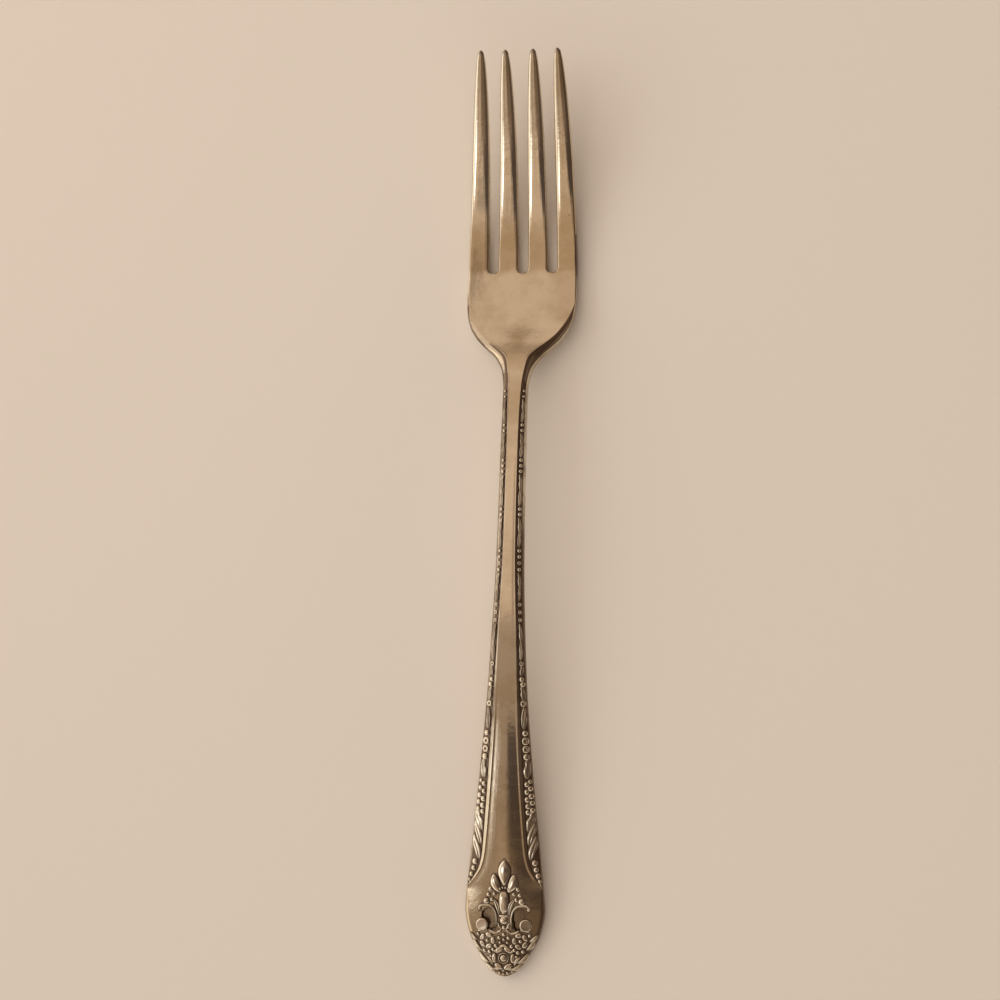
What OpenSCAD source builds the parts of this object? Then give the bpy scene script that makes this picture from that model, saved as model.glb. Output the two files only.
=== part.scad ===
// Dinner fork, struck from one blank and ornamented on the handle.
// The fork lies face up, tines towards +Y. It rests on the palm and on the heel of the terminal.
// Places along the fork are measured from the end of the terminal.

/* [Lengths along the fork] */
// Terminal, the ornamented end plate beyond the borders
terminal_l = 18.5; // [16:0.5:22]
// Blade, the widening lower handle with the broad centre panel
blade_l = 41.5; // [34:0.5:50]
// Shank, the narrow upper handle
shank_l = 60; // [48:1:72]
// Neck, where the centre panel flares into the shoulders
neck_l = 10; // [8:0.5:13]
// Palm, from the neck to the roots of the slots
palm_l = 15.5; // [13:0.5:19]
// Tines, from the roots of the slots to their tips
tine_l = 44.5; // [39:0.5:51]

/* [Widths] */
// Palm at its widest
palm_w = 23.4; // [21:0.2:26]
// One tine at its root
tine_w = 4.1; // [3.6:0.1:4.6]
// Between the centres of the two outer tips
outer_tips_w = 16.4; // [14:0.2:18]
// Between the centres of the two inner tips
inner_tips_w = 5.9; // [5:0.1:6.4]
// Shank at its narrowest, by the neck
shank_w = 5.1; // [4.6:0.1:6]
// Terminal at its widest
terminal_w = 16.1; // [14.5:0.1:18]
// Centre panel at its narrowest, on the shank
panel_w = 2.3; // [1.9:0.1:2.8]
// Centre panel on the blade, just above its last flare
panel_blade_w = 10.6; // [9:0.1:11.4]

/* [Heights and thicknesses] */
// Upper face of the tine tips above the table
tip_h = 15; // [11:0.5:19]
// Upper face of the handle at the top of its arch
arch_h = 9.5; // [8:0.25:12]
// Upper face where the shank meets the neck
neck_h = 8.3; // [7:0.1:9.4]
// Upper face at the very end of the terminal
heel_h = 1.95; // [1.8:0.05:2.4]
// Rise of the terminal plate towards the blade, in degrees
heel_angle = 6.7; // [4:0.1:9]
// Palm
palm_t = 2.4; // [2:0.1:3]
// Thickest part of the neck
neck_t = 3.5; // [3:0.1:4.2]
// Terminal plate
terminal_t = 2.2; // [2:0.05:2.6]
// Dish of the palm across its width
dish_d = 0.6; // [0.3:0.05:1.2]

/* [Centre panel and borders] */
// Centre panel strip, seated between the borders
panel_t = 0.6; // [0.5:0.05:0.8]
// Step from the centre panel down to the borders
groove_d = 0.5; // [0.35:0.05:0.5]
// Raised edge along the panel, above its middle
rim_d = 0.1; // [0.05:0.01:0.15]
// Broken edge around the outline
edge_r = 0.35; // [0.2:0.05:0.45]
// Small bead of the borders, radius
bead_r = 0.42; // [0.3:0.02:0.5]
// Height of the border leaves above the border
leaf_h = 0.34; // [0.25:0.01:0.45]

/* [Ornament of the terminal] */
// Depth of the two arched pockets
pocket_d = 0.9; // [0.6:0.05:1.2]
// Width of a pocket
pocket_w = 3; // [2.6:0.1:3.4]
// Round boss beside each pocket, radius
boss_r = 1.3; // [1.1:0.05:1.5]
// Height of the bosses above the plate
boss_h = 0.8; // [0.5:0.05:1.1]
// Height of the rose and of the bud above the plate
rose_h = 0.95; // [0.7:0.05:1.2]
// Rose across its outer petals
rose_w = 3.8; // [3.2:0.1:4.2]
// Wire of the two scrolls, radius
scroll_r = 0.24; // [0.18:0.02:0.3]

/* [Hidden] */

silver = [0.77, 0.7, 0.61];
worn_silver = [0.86, 0.8, 0.72];
shaded_silver = [0.62, 0.53, 0.43];

// Clearance under work that is seated on a curved face
seat_gap = 0.004;
// Clearance around a boss in its socket
socket_gap = 0.02;
// Overrun of cuts
over = 1;

// Places of the joints between the regions
blade_s = terminal_l;
shank_s = blade_s + blade_l;
neck_s = shank_s + shank_l;
palm_s = neck_s + neck_l;
root_s = palm_s + palm_l;
tip_s = root_s + tine_l;

// Outline, as shares of each region's length and of its growth in width
palm_edge_shares = [[0, 0], [0.14, 0.07], [0.235, 0.21], [0.32, 0.44], [0.414, 0.69], [0.5, 0.855],
    [0.593, 0.941], [0.687, 0.981], [0.78, 1], [0.94, 0.99], [1, 0.985]];
handle_edge_shares = [[0, 0], [0.1, 0.014], [0.335, 0.06], [0.474, 0.157], [0.604, 0.282],
    [0.756, 0.526], [0.889, 0.8], [0.955, 0.933], [1, 1]];
end_edge_shares = [[0, 0], [0.035, 0.2], [0.08, 0.3], [0.27, 0.572], [0.5, 0.81], [0.62, 0.89],
    [0.8, 0.965], [1, 1]];

// Slots: the outer tines stand flush with the palm's edge and the rest share the width
root_half_w = palm_w / 2 * palm_edge_shares[len(palm_edge_shares) - 1][1];
outer_root_x = root_half_w - tine_w / 2;
tine_pitch = 2 * outer_root_x / 3;
slot_r = (tine_pitch - tine_w) / 2;
joint_s = root_s + slot_r;

// Smooth curve through points [place, value], held level beyond both ends
function slope_at(p, i) = let(a = max(i - 1, 0), b = min(i + 1, len(p) - 1))
    (p[b][1] - p[a][1]) / (p[b][0] - p[a][0]);
function span_of(p, x, i = 0) = i >= len(p) - 2 || x <= p[i + 1][0] ? i : span_of(p, x, i + 1);
function curve(p, place) = let(
    x = min(max(place, p[0][0]), p[len(p) - 1][0]),
    i = span_of(p, x),
    h = p[i + 1][0] - p[i][0],
    t = (x - p[i][0]) / h,
    t2 = t * t,
    t3 = t2 * t)
    (2 * t3 - 3 * t2 + 1) * p[i][1] + (t3 - 2 * t2 + t) * h * slope_at(p, i)
    + (3 * t2 - 2 * t3) * p[i + 1][1] + (t3 - t2) * h * slope_at(p, i + 1);
function blend(a, b, t) = a + (b - a) * t;
function bump(t) = sin(180 * t);

widest_share = 0.72;
widest_s = terminal_l * widest_share;
handle_edge = [for (i = [len(handle_edge_shares) - 1:-1:0])
    [blend(neck_s, widest_s, handle_edge_shares[i][0]),
     blend(shank_w, terminal_w, handle_edge_shares[i][1]) / 2]];
head_edge = [for (e = palm_edge_shares)
    [blend(neck_s, root_s, e[0]), blend(shank_w, palm_w, e[1]) / 2]];
function half_w(s) = s > neck_s ? curve(head_edge, s) : curve(handle_edge, s);

// Upper face along the middle, as shares of each region's length and rise
arch_shares = [[0.09, 0.225], [0.2, 0.483], [0.31, 0.69], [0.41, 0.831], [0.53, 0.944], [0.65, 0.991],
    [0.76, 1], [0.86, 0.972], [0.94, 0.906]];
fall_shares = [[0, 1], [0.2, 0.79], [0.395, 0.51], [0.593, 0.235], [0.744, 0.077], [0.866, 0.012], [1, 0]];
sweep_power = 1.4;
blade_h = heel_h + terminal_l * tan(heel_angle);
rest_sink = 0.1;
palm_h = palm_t - rest_sink;
profile = concat([[0, heel_h], [blade_s, blade_h]],
    [for (e = arch_shares) [blend(blade_s, neck_s, e[0]), blend(blade_h, arch_h, e[1])]],
    [for (e = fall_shares) [blend(neck_s, root_s, e[0]), blend(palm_h, neck_h, e[1])]]);
function sweep(s) = pow((s - root_s) / tine_l, sweep_power);
function top_z(s) = s > root_s ? blend(palm_h, tip_h, sweep(s))
    : s < blade_s ? heel_h + s * tan(heel_angle) : curve(profile, s);

// Thickness from the terminal, over the neck, to the palm
shoulder_t_share = 0.45;
thickness_points = [[0, terminal_t], [blade_s, terminal_t], [neck_s, neck_t],
    [palm_s, blend(palm_t, neck_t, shoulder_t_share)], [root_s, palm_t]];
function thick(s) = curve(thickness_points, s);

// Half width of the centre panel: it flares into the palm and out to the edge of the terminal
panel_shares = [[0, 1], [0.065, 0.87], [0.2, 0.58], [0.36, 0.32], [0.5, 0.16], [0.65, 0.035],
    [0.88, 0], [1, 0.05]];
panel_edge = [for (e = panel_shares)
    [blend(blade_s, neck_s, e[0]), blend(panel_w, panel_blade_w, e[1]) / 2]];
flare_l = 5;
flare_power = 3;
shoulder_flare_power = 2.6;
shoulder_flare_share = 0.65;
function flare(s) = s > blade_s + flare_l ? 0 : pow(1 - (s - blade_s) / flare_l, flare_power);
function panel_half(s) = s > neck_s
    ? blend(curve(panel_edge, neck_s), half_w(palm_s) * shoulder_flare_share,
        pow((s - neck_s) / neck_l, shoulder_flare_power))
    : blend(curve(panel_edge, s), half_w(s) - edge_r, flare(s));

// Borders: a step below the panel, then a slope out to the edge
shank_slope = 0.62;
blade_slope = 0.42;
shoulder_slope = 0.24;
joint_slope_share = 0.7;
slope_points = [[blade_s, blade_slope], [shank_s, blend(blade_slope, shank_slope, joint_slope_share)],
    [neck_s, shank_slope], [palm_s, shoulder_slope]];
fade_power = 2;
function fade(s) = s > neck_s ? 1 - pow((s - neck_s) / neck_l, fade_power) : 1;
function step_d(s) = groove_d * fade(s);
function border_in(s) = [panel_half(s), top_z(s) - step_d(s)];
edge_share = 1 / 3;
function border_out(s) = let(a = border_in(s), x = half_w(s) - edge_r * edge_share)
    [x, a[1] - curve(slope_points, s) * (x - a[0])];
function border_point(s, q, side, lift = 0) = let(
    a = border_in(s),
    b = border_out(s),
    d = (b - a) / norm(b - a),
    p = blend(a, b, q) + [-d[1], d[0]] * (lift + seat_gap))
    [side * p[0], s, p[1]];
function border_tilt(s) = let(d = border_out(s) - border_in(s)) atan(-d[1] / d[0]);
function border_width(s) = norm(border_out(s) - border_in(s));

// Closed solid through rings of equal count, capped flat at both ends
module loft(rings) {
    n = len(rings[0]);
    m = len(rings);
    sides = [for (j = [0:m - 2]) for (i = [0:n - 1]) let(k = (i + 1) % n)
        each [[j * n + i, j * n + k, (j + 1) * n + k], [j * n + i, (j + 1) * n + k, (j + 1) * n + i]]];
    ends = [[for (i = [n - 1:-1:0]) i], [for (i = [0:n - 1]) (m - 1) * n + i]];
    polyhedron(points = [for (r = rings) each r], faces = concat(sides, ends));
}

// Closed solid between an upper and a lower sheet of points, rows[row][column]
module slab(upper, lower) {
    m = len(upper);
    n = len(upper[0]);
    size = m * n;
    loop = concat([for (i = [0:n - 2]) i], [for (j = [0:m - 2]) j * n + n - 1],
        [for (i = [n - 1:-1:1]) (m - 1) * n + i], [for (j = [m - 1:-1:1]) j * n]);
    skin = [for (j = [0:m - 2]) for (i = [0:n - 2]) let(a = j * n + i, b = a + n)
        each [[a, b, b + 1], [a, b + 1, a + 1]]];
    base = [for (f = skin) [f[2] + size, f[1] + size, f[0] + size]];
    wall = [for (k = [0:len(loop) - 1]) let(a = loop[k], b = loop[(k + 1) % len(loop)])
        each [[a, b, b + size], [a, b + size, a + size]]];
    polyhedron(points = concat([for (r = upper) each r], [for (r = lower) each r]),
        faces = concat(skin, base, wall));
}

// Right half of a section, from its upper to its lower face, made whole by mirroring
function whole(half, s) = concat([for (p = half) [p[0], s, p[1]]],
    [for (i = [len(half) - 1:-1:0]) [-half[i][0], s, half[i][1]]]);

// Places of the sections between two joints
body_step = 2.4;
function stations(from, to) = let(count = ceil((to - from) / body_step))
    [for (i = [0:count]) blend(from, to, i / count)];

// Tines
tine_steps = 20;
width_shares = [[0, 1], [0.1, 1], [0.3, 0.96], [0.5, 0.91], [0.67, 0.83], [0.78, 0.745], [0.88, 0.63],
    [0.955, 0.48], [0.985, 0.36], [1, 0.12]];
depth_shares = [[0, 0.96], [0.6, 0.78], [0.9, 0.58], [0.97, 0.4], [1, 0.14]];
// How round the corners are, and how far a corner is cut in, from root to tip
corner_shares = [[0, 0.2], [0.6, 0.38], [1, 0.7]];
corner_cut = 0.3;
tip_crowding = 1.3;
function dish_z(x) = dish_d * pow(2 * x / palm_w, 2);
function tine_ring(s, root_x, tip_x) = let(
    t = (s - root_s) / tine_l,
    x = blend(root_x, tip_x, t),
    a = tine_w / 2 * curve(width_shares, t),
    b = palm_t / 2 * curve(depth_shares, t),
    c = curve(corner_shares, t),
    z = top_z(s) - b,
    corner = [[1, 1 - c], [1 - corner_cut * c, 1 - corner_cut * c], [1 - c, 1]],
    quarter = [for (k = corner) [k[0] * a, k[1] * b]],
    ring = concat(quarter, [for (i = [2:-1:0]) [-quarter[i][0], quarter[i][1]]],
        [for (q = quarter) -q], [for (i = [2:-1:0]) [quarter[i][0], -quarter[i][1]]]))
    [for (p = ring) [x + p[0], s, z + p[1] + dish_z(x + p[0])]];
module tine(root_x, tip_x) {
    color(silver)
        loft([for (i = [0:tine_steps])
            tine_ring(blend(joint_s, tip_s, 1 - pow(1 - i / tine_steps, tip_crowding)), root_x, tip_x)]);
}

// Palm: columns run from the neck to the front edge, which curves in at the three slots
slot_steps = 6;
palm_rows = 16;
palm_columns = concat([-root_half_w, edge_r - root_half_w, -outer_root_x],
    [for (k = [-1:1]) each concat(
        [for (i = [0:slot_steps]) k * tine_pitch - slot_r * cos(180 * i / slot_steps)],
        [for (x = [k * tine_pitch + tine_pitch / 2]) if (k < 1) x])],
    [outer_root_x, root_half_w - edge_r, root_half_w]);
function from_slot(x) = min([for (k = [-1:1]) abs(x - k * tine_pitch)]);
function front_s(x) = let(d = from_slot(x)) d < slot_r ? joint_s - sqrt(slot_r * slot_r - d * d) : joint_s;
shoulder_run_share = 0.625;
function palm_fall(u, s) = let(
    v = min(1, (s - palm_s) / palm_l / shoulder_run_share),
    reach = blend(1 - shoulder_flare_share, edge_r / root_half_w, v),
    drop = blend(shoulder_slope * half_w(palm_s) * (1 - shoulder_flare_share), edge_r, v))
    drop * max(0, (abs(u) - 1 + reach) / reach);
function palm_point(c, s, up) = let(
    u = c / root_half_w,
    w = s > root_s ? root_half_w : half_w(s),
    x = u * w,
    lift = dish_z(x),
    z = top_z(s) + lift)
    [x, s, up ? z - palm_fall(u, s)
        : max(0, z - thick(s) + (abs(u) == 1 ? edge_r : 0))];
module palm() {
    rows = [for (j = [0:palm_rows]) [for (c = palm_columns) blend(palm_s, front_s(c), j / palm_rows)]];
    upper = [for (r = rows) [for (i = [0:len(r) - 1]) palm_point(palm_columns[i], r[i], true)]];
    lower = [for (r = rows) [for (i = [0:len(r) - 1]) palm_point(palm_columns[i], r[i], false)]];
    color(silver) slab(upper, lower);
}

// Body of the handle below the centre panel: its sides turn under to a flat back
back_share = 0.55;
turn_share = 0.86;
turn_rise_share = 0.3;
side_share = 0.45;
function body_half(s) = let(
    a = border_in(s),
    b = border_out(s),
    seat = top_z(s) - panel_t,
    back = top_z(s) - thick(s),
    w = half_w(s),
    low = blend(back, b[1], side_share))
    [[a[0], seat], [a[0], a[1]], b, [w, b[1] - edge_r / 2], [w, low],
     [w * turn_share, blend(back, low, turn_rise_share)], [w * back_share, back]];
module body(from, to) {
    loft([for (s = stations(from, to)) whole(body_half(s), s)]);
}
module neck() color(silver) body(neck_s, palm_s);
module shank() color(shaded_silver) body(shank_s, neck_s);
module blade() color(shaded_silver) body(blade_s, shank_s);

// Centre panel with its raised edges: shares of the panel's half width from its side
rim_in_share = 0.256;
rim_top_share = 0.16;
rim_side_share = 0.064;
least_rim_share = 0.05;
function rim_fade(s) = blend(least_rim_share, 1, s > neck_s ? fade(s) : 1 - flare(s));
function panel_face(s) = s < blade_s ? top_z(s) : top_z(s) - rim_d * rim_fade(s);
function panel_half_ring(s) = let(
    p = panel_half(s),
    z = top_z(s))
    [[p * (1 - rim_in_share), panel_face(s)], [p * (1 - rim_top_share), z],
     [p * (1 - rim_side_share), z], [p, z - rim_d], [p, z - panel_t]];
module panel(places) {
    color(worn_silver) loft([for (s = places) whole(panel_half_ring(s), s)]);
}
module shank_panel() {
    neck_places = [for (s = stations(neck_s, palm_s)) if (s > neck_s) s];
    panel(concat(stations(shank_s, neck_s), neck_places));
}
module blade_panel() panel(stations(blade_s, shank_s));

// Border work, placed by shares of the length from the blade to the neck.
// Beads: place, place across the border, size
bead_shares = [[0.018, 0.5, 1], [0.03, 0.5, 0.95], [0.041, 0.55, 1.1],
    [0.143, 0.3, 0.8], [0.149, 0.7, 0.9], [0.155, 0.28, 0.9], [0.162, 0.72, 0.8], [0.169, 0.35, 0.85],
    [0.176, 0.72, 0.95], [0.184, 0.3, 0.8], [0.19, 0.7, 0.8], [0.198, 0.4, 0.9],
    [0.253, 0.5, 1.1], [0.266, 0.45, 1], [0.281, 0.5, 1.2], [0.2965, 0.5, 1],
    [0.355, 0.5, 1], [0.393, 0.6, 0.9], [0.402, 0.4, 0.9], [0.434, 0.5, 1.1],
    [0.522, 0.5, 1.2], [0.537, 0.5, 1.25], [0.5525, 0.5, 1.15],
    [0.623, 0.5, 1.1], [0.636, 0.5, 1.1], [0.649, 0.5, 1.05], [0.661, 0.5, 0.9],
    [0.734, 0.5, 0.95], [0.7445, 0.5, 0.95], [0.8225, 0.5, 0.9], [0.833, 0.5, 0.95], [0.8435, 0.5, 0.9],
    [0.906, 0.5, 0.95], [0.9165, 0.5, 0.9], [0.977, 0.5, 0.95], [0.988, 0.5, 0.9]];
// Leaves: from, to, width, bend
leaf_shares = [[0.047, 0.093, 1.1, 0.1], [0.094, 0.139, 1.1, 0.1], [0.206, 0.247, 0.9, 0.1],
    [0.304, 0.349, 0.85, 0.12], [0.361, 0.388, 0.8, 0.1], [0.409, 0.429, 0.8, 0.08],
    [0.44, 0.477, 0.8, 0.12], [0.479, 0.515, 0.8, 0.12], [0.56, 0.587, 0.8, 0.12],
    [0.589, 0.616, 0.8, 0.12], [0.667, 0.696, 0.8, 0.12], [0.698, 0.728, 0.8, 0.12],
    [0.75, 0.783, 0.8, 0.12], [0.785, 0.817, 0.8, 0.12], [0.849, 0.9, 0.8, 0.12],
    [0.922, 0.971, 0.8, 0.12]];
leaf_rows = 7;
leaf_wall = 0.1;
leaf_base_share = 0.07;
leaf_half_share = 0.3;
leaf_fullness = 0.8;
leaf_end_rise = 0.35;
leaf_room = 0.02;
bead_room_share = 0.32;
module bead(r) {
    rotate_extrude($fn = 32)
        intersection() {
            circle(r = r);
            square(r);
        }
}
module border_bead(s, across, size, side) {
    r = min(bead_r * size, border_width(s) * bead_room_share);
    translate(border_point(s, across, side)) rotate([0, side * border_tilt(s), 0]) bead(r);
}
// A leaf bends from the groove side of the border at its base to the edge side at its tip
function leaf_row(a, b, t, side, width, bend, lift) = let(
    s = blend(a, b, t),
    half = leaf_base_share + leaf_half_share * width * pow(bump(pow(t, leaf_fullness)), leaf_fullness),
    mid = 1 / 2 - bend * cos(180 * t),
    rise = leaf_h * blend(leaf_end_rise, 1, bump(t)))
    [for (k = [-2:2]) border_point(s, min(1 - leaf_room, max(leaf_room, mid + half * k / 2)), side,
        lift ? blend(leaf_wall, rise, 1 - pow(k / 2, 2)) : 0)];
function turned(rows) = [for (r = rows) [for (i = [len(r) - 1:-1:0]) r[i]]];
module border_leaf(a, b, side, width, bend) {
    upper = [for (j = [0:leaf_rows]) leaf_row(a, b, j / leaf_rows, side, width, bend, true)];
    lower = [for (j = [0:leaf_rows]) leaf_row(a, b, j / leaf_rows, side, width, bend, false)];
    slab(side > 0 ? upper : turned(upper), side > 0 ? lower : turned(lower));
}
function place(share) = blend(blade_s, neck_s, share);
module beads(from, to, side) {
    color(worn_silver)
        for (b = bead_shares)
            if (place(b[0]) > from && place(b[0]) < to) border_bead(place(b[0]), b[1], b[2], side);
}
module leaves(from, to, side) {
    color(silver)
        for (l = leaf_shares)
            if (place(l[0]) > from && place(l[1]) < to)
                border_leaf(place(l[0]), place(l[1]), side, l[2], l[3]);
}

// Work on the terminal, in the plane of its plate: x across, y along, z up from the plate.
// Places are shares of the plate's half width and of the terminal's length.
module on_plate() {
    translate([0, 0, heel_h]) rotate([heel_angle, 0, 0]) children();
}
module on_side(side) {
    mirror([side < 0 ? 1 : 0, 0, 0]) on_plate() children();
}
function spot(e) = [e[0] * terminal_w / 2, e[1] * terminal_l, 0];
function plate_edge(t) = t > widest_s ? half_w(t)
    : terminal_w / 2 * curve(end_edge_shares, t / widest_s);
plate_places = concat([for (e = end_edge_shares) e[0] * widest_s],
    [blend(widest_s, terminal_l, 0.5), terminal_l + over]);

pocket_shares = [0.391, 0.655];
pocket_l = 1.9;
pocket_foot_share = 0.8;
boss_shares = [0.56, 0.562];
module pocket_outline() {
    hull() {
        translate(spot(pocket_shares)) circle(d = pocket_w, $fn = 48);
        translate(spot(pocket_shares) - [0, pocket_l, 0]) circle(d = pocket_w * pocket_foot_share, $fn = 48);
    }
}
module plate_outline() {
    edge = [for (t = plate_places) [plate_edge(t), t]];
    polygon(concat(edge, [for (i = [len(edge) - 1:-1:1]) [-edge[i][0], edge[i][1]]]));
}
module terminal() {
    color(shaded_silver)
        difference() {
            on_plate()
                difference() {
                    translate([0, 0, -terminal_t]) linear_extrude(terminal_t) plate_outline();
                    for (side = [-1, 1])
                        mirror([side < 0 ? 1 : 0, 0, 0])
                            translate([0, 0, -pocket_d])
                                linear_extrude(pocket_d + over) {
                                    pocket_outline();
                                    translate(spot(boss_shares)) circle(r = boss_r + socket_gap, $fn = 64);
                                }
                }
            translate([-terminal_w, terminal_l, -terminal_t]) cube([2 * terminal_w, terminal_l, arch_h * 2]);
            translate([-terminal_w, -terminal_l, -2 * terminal_t])
                cube([2 * terminal_w, 3 * terminal_l, 2 * terminal_t]);
        }
}

// A leaf with a ridge along its middle, laid on the plate and the panel from its base at [x, s]
leaf_edge_shares = [[0, 0.12], [0.12, 0.5], [0.3, 0.86], [0.48, 1], [0.66, 0.86], [0.84, 0.5], [1, 0.06]];
ridge_from_share = 0.08;
flank_share = 0.66;
module ridged_leaf(base, angle, l, w, h, side = 1) {
    function laid(x, y, z) = let(
        px = side * (base[0] + x * cos(angle) + y * sin(angle)),
        s = base[1] - x * sin(angle) + y * cos(angle))
        [px, s, panel_face(s) + seat_gap + z];
    function across(ridge) = let(flank = blend(leaf_wall, ridge, flank_share))
        [leaf_wall, flank, ridge, flank, leaf_wall];
    rows = [for (e = leaf_edge_shares) [e[0] * l, e[1] * w / 2,
        blend(leaf_wall, h, bump(blend(ridge_from_share, 1 - ridge_from_share, e[0])))]];
    upper = [for (r = rows) let(z = across(r[2])) [for (k = [-2:2]) laid(k / 2 * r[1], r[0], z[k + 2])]];
    lower = [for (r = rows) [for (k = [-2:2]) laid(k / 2 * r[1], r[0], 0)]];
    slab(side > 0 ? upper : turned(upper), side > 0 ? lower : turned(lower));
}
centre_leaf_l = 4.5;
centre_leaf_w = 2.4;
side_leaf_l = 3.5;
side_leaf_w = 1.75;
side_leaf_angle = 22;
side_leaf_shares = [0.096, 0.925];
leaf_rise = 0.75;
module leaf_centre() color(silver)
    ridged_leaf([0, terminal_l], 0, centre_leaf_l, centre_leaf_w, rose_h * leaf_rise);
module leaf_side(side) color(silver)
    ridged_leaf(spot(side_leaf_shares), side_leaf_angle, side_leaf_l, side_leaf_w, rose_h * leaf_rise, side);

// A bud: half round across, pointed at both ends
bud_rows = 9;
bud_sides = 6;
bud_end_share = 0.03;
bud_fullness = 0.75;
module half_bud(l, w, h) {
    rows = [for (j = [0:bud_rows]) let(t = blend(bud_end_share, 1 - bud_end_share, j / bud_rows))
        [t * l, pow(bump(t), bud_fullness)]];
    upper = [for (r = rows) [for (i = [0:bud_sides]) let(a = 180 - 180 * i / bud_sides)
        [w / 2 * r[1] * cos(a), r[0], leaf_wall + (h - leaf_wall) * r[1] * sin(a)]]];
    lower = [for (r = upper) [for (p = r) [p[0], p[1], 0]]];
    slab(upper, lower);
}
module low_dome(r, h) {
    ball_r = (r * r + h * h) / (2 * h);
    rotate_extrude($fn = 48)
        intersection() {
            translate([0, h - ball_r]) circle(r = ball_r, $fn = 96);
            square([r, h]);
        }
}
// A flower: a domed eye in a ring of round petals that run into each other
petal_lap = 1.12;
petal_rise = 0.75;
module flower(r, petals, h) {
    petal_r = r * sin(180 / petals) / (1 + sin(180 / petals));
    low_dome((r - 2 * petal_r) * petal_lap, h);
    for (i = [0:petals - 1])
        rotate([0, 0, 360 * i / petals])
            translate([0, r - petal_r, 0]) low_dome(petal_r * petal_lap, h * petal_rise);
}

bud_l = 4.7;
bud_w = 2.5;
bud_share = 0.665;
module bud() color(silver) on_plate() translate(spot([0, bud_share])) half_bud(bud_l, bud_w, rose_h);

// Beads in an arc over the bud, from its shoulder on one side to the other
arc_beads = 8;
arc_centre_share = 0.72;
arc_gap = 0.4;
arc_span = 130;
arc_bead_r = 0.24;
module bead_arc() color(worn_silver) on_plate()
    translate(spot([0, bud_share]) + [0, bud_l * arc_centre_share, 0])
        for (i = [0:arc_beads - 1])
            rotate([0, 0, arc_span * (i / (arc_beads - 1) - 0.5)])
                translate([0, bud_w / 2 + arc_gap, 0]) bead(arc_bead_r);

// Berries beside the bud: place and size
berry_shares = [[0.385, 0.935, 1], [0.425, 0.868, 1], [0.28, 0.855, 0.95], [0.43, 0.795, 1.3],
    [0.29, 0.785, 0.9]];
berry_r = 0.42;
berry_rise = 0.9;
module berries(side) color(worn_silver) on_side(side)
    for (b = berry_shares) translate(spot(b)) low_dome(berry_r * b[2], berry_r * berry_rise);

// A scroll arches over each pocket, from a ball on its outer side down to a leg on its inner side
scroll_gap = 0.02;
scroll_start = 20;
scroll_leg = 2.2;
ball_r = 0.36;
ball_out_share = 0.4;
ball_lap_share = 0.6;
module half_wire(r) {
    intersection() {
        circle(r = r, $fn = 24);
        translate([-r, 0]) square([2 * r, r]);
    }
}
module scroll(side) {
    arc_r = pocket_w / 2 + scroll_gap + scroll_r;
    color(worn_silver) on_side(side) translate(spot(pocket_shares)) {
        rotate([0, 0, scroll_start]) rotate_extrude(angle = 180 - scroll_start, $fn = 64)
            translate([arc_r, 0]) half_wire(scroll_r);
        translate([-arc_r, scroll_r, 0])
            rotate([90, 0, 0]) linear_extrude(scroll_leg) half_wire(scroll_r);
        rotate([0, 0, scroll_start])
            translate([arc_r + ball_r * ball_out_share, -ball_r * ball_lap_share, 0])
                low_dome(ball_r, ball_r);
    }
}
// A boss stands in its socket on the floor of the pocket
boss_edge = 0.35;
module boss(side) color(worn_silver) on_side(side)
    translate(spot(boss_shares) - [0, 0, pocket_d]) {
        cylinder(r = boss_r, h = pocket_d + boss_h - boss_edge, $fn = 64);
        translate([0, 0, pocket_d + boss_h - boss_edge]) low_dome(boss_r, boss_edge);
    }

// Collar and knot of the stem below the bud
collar_shares = [0, 0.63];
collar_l = 2;
collar_w = 0.8;
knot_shares = [0, 0.53];
knot_r = 0.6;
knot_rise = 0.6;
knot_bead_shares = [0.07, 0.475];
knot_bead_r = 0.24;
module stem_knot() color(silver) on_plate() {
    translate(spot(collar_shares) - [collar_l / 2, 0, 0])
        rotate([0, 0, -90]) half_bud(collar_l, collar_w, rose_h * knot_rise);
    translate(spot(knot_shares)) low_dome(knot_r, rose_h * knot_rise);
    for (side = [-1, 1])
        mirror([side < 0 ? 1 : 0, 0, 0]) translate(spot(knot_bead_shares)) bead(knot_bead_r);
}

rose_shares = [0, 0.21];
rose_petals = 6;
module rose() color(worn_silver) on_plate()
    translate(spot(rose_shares)) flower(rose_w / 2, rose_petals, rose_h);

// Blossoms beside and above the rose: place, radius as a share of the rose's, petals
blossom_shares = [[0.43, 0.355, 0.76, 5], [0.16, 0.415, 0.4, 5]];
seed_shares = [[0.13, 0.47, 1], [0.28, 0.445, 0.9], [0.06, 0.345, 0.9]];
seed_r = 0.22;
blossom_rise = 0.8;
module blossom(side) color(silver) on_side(side) {
    for (b = blossom_shares) translate(spot(b)) flower(rose_w / 2 * b[2], b[3], rose_h * blossom_rise);
    for (b = seed_shares) translate(spot(b)) bead(seed_r * b[2]);
}

// Spray of leaves around the flowers: base, angle, and size as shares of the length of the terminal
spray_shares = [[0.15, 0.07, 100, 0.081, 0.038], [0.26, 0.125, 55, 0.108, 0.051],
    [0.3, 0.205, 60, 0.124, 0.057], [0.56, 0.275, 32, 0.103, 0.046], [0.62, 0.37, 55, 0.097, 0.046]];
spray_rise = 0.5;
module spray(side) color(silver)
    for (l = spray_shares)
        ridged_leaf(spot(l), l[2], terminal_l * l[3], terminal_l * l[4], rose_h * spray_rise, side);

tip_bead_shares = [[0, 0.035, 1], [0.13, 0.03, 0.9], [-0.13, 0.03, 0.9], [0, 0.085, 0.8]];
tip_bead_r = 0.36;
module tip_beads() color(worn_silver) on_plate()
    for (b = tip_bead_shares) translate(spot(b)) low_dome(tip_bead_r * b[2], tip_bead_r);

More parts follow.
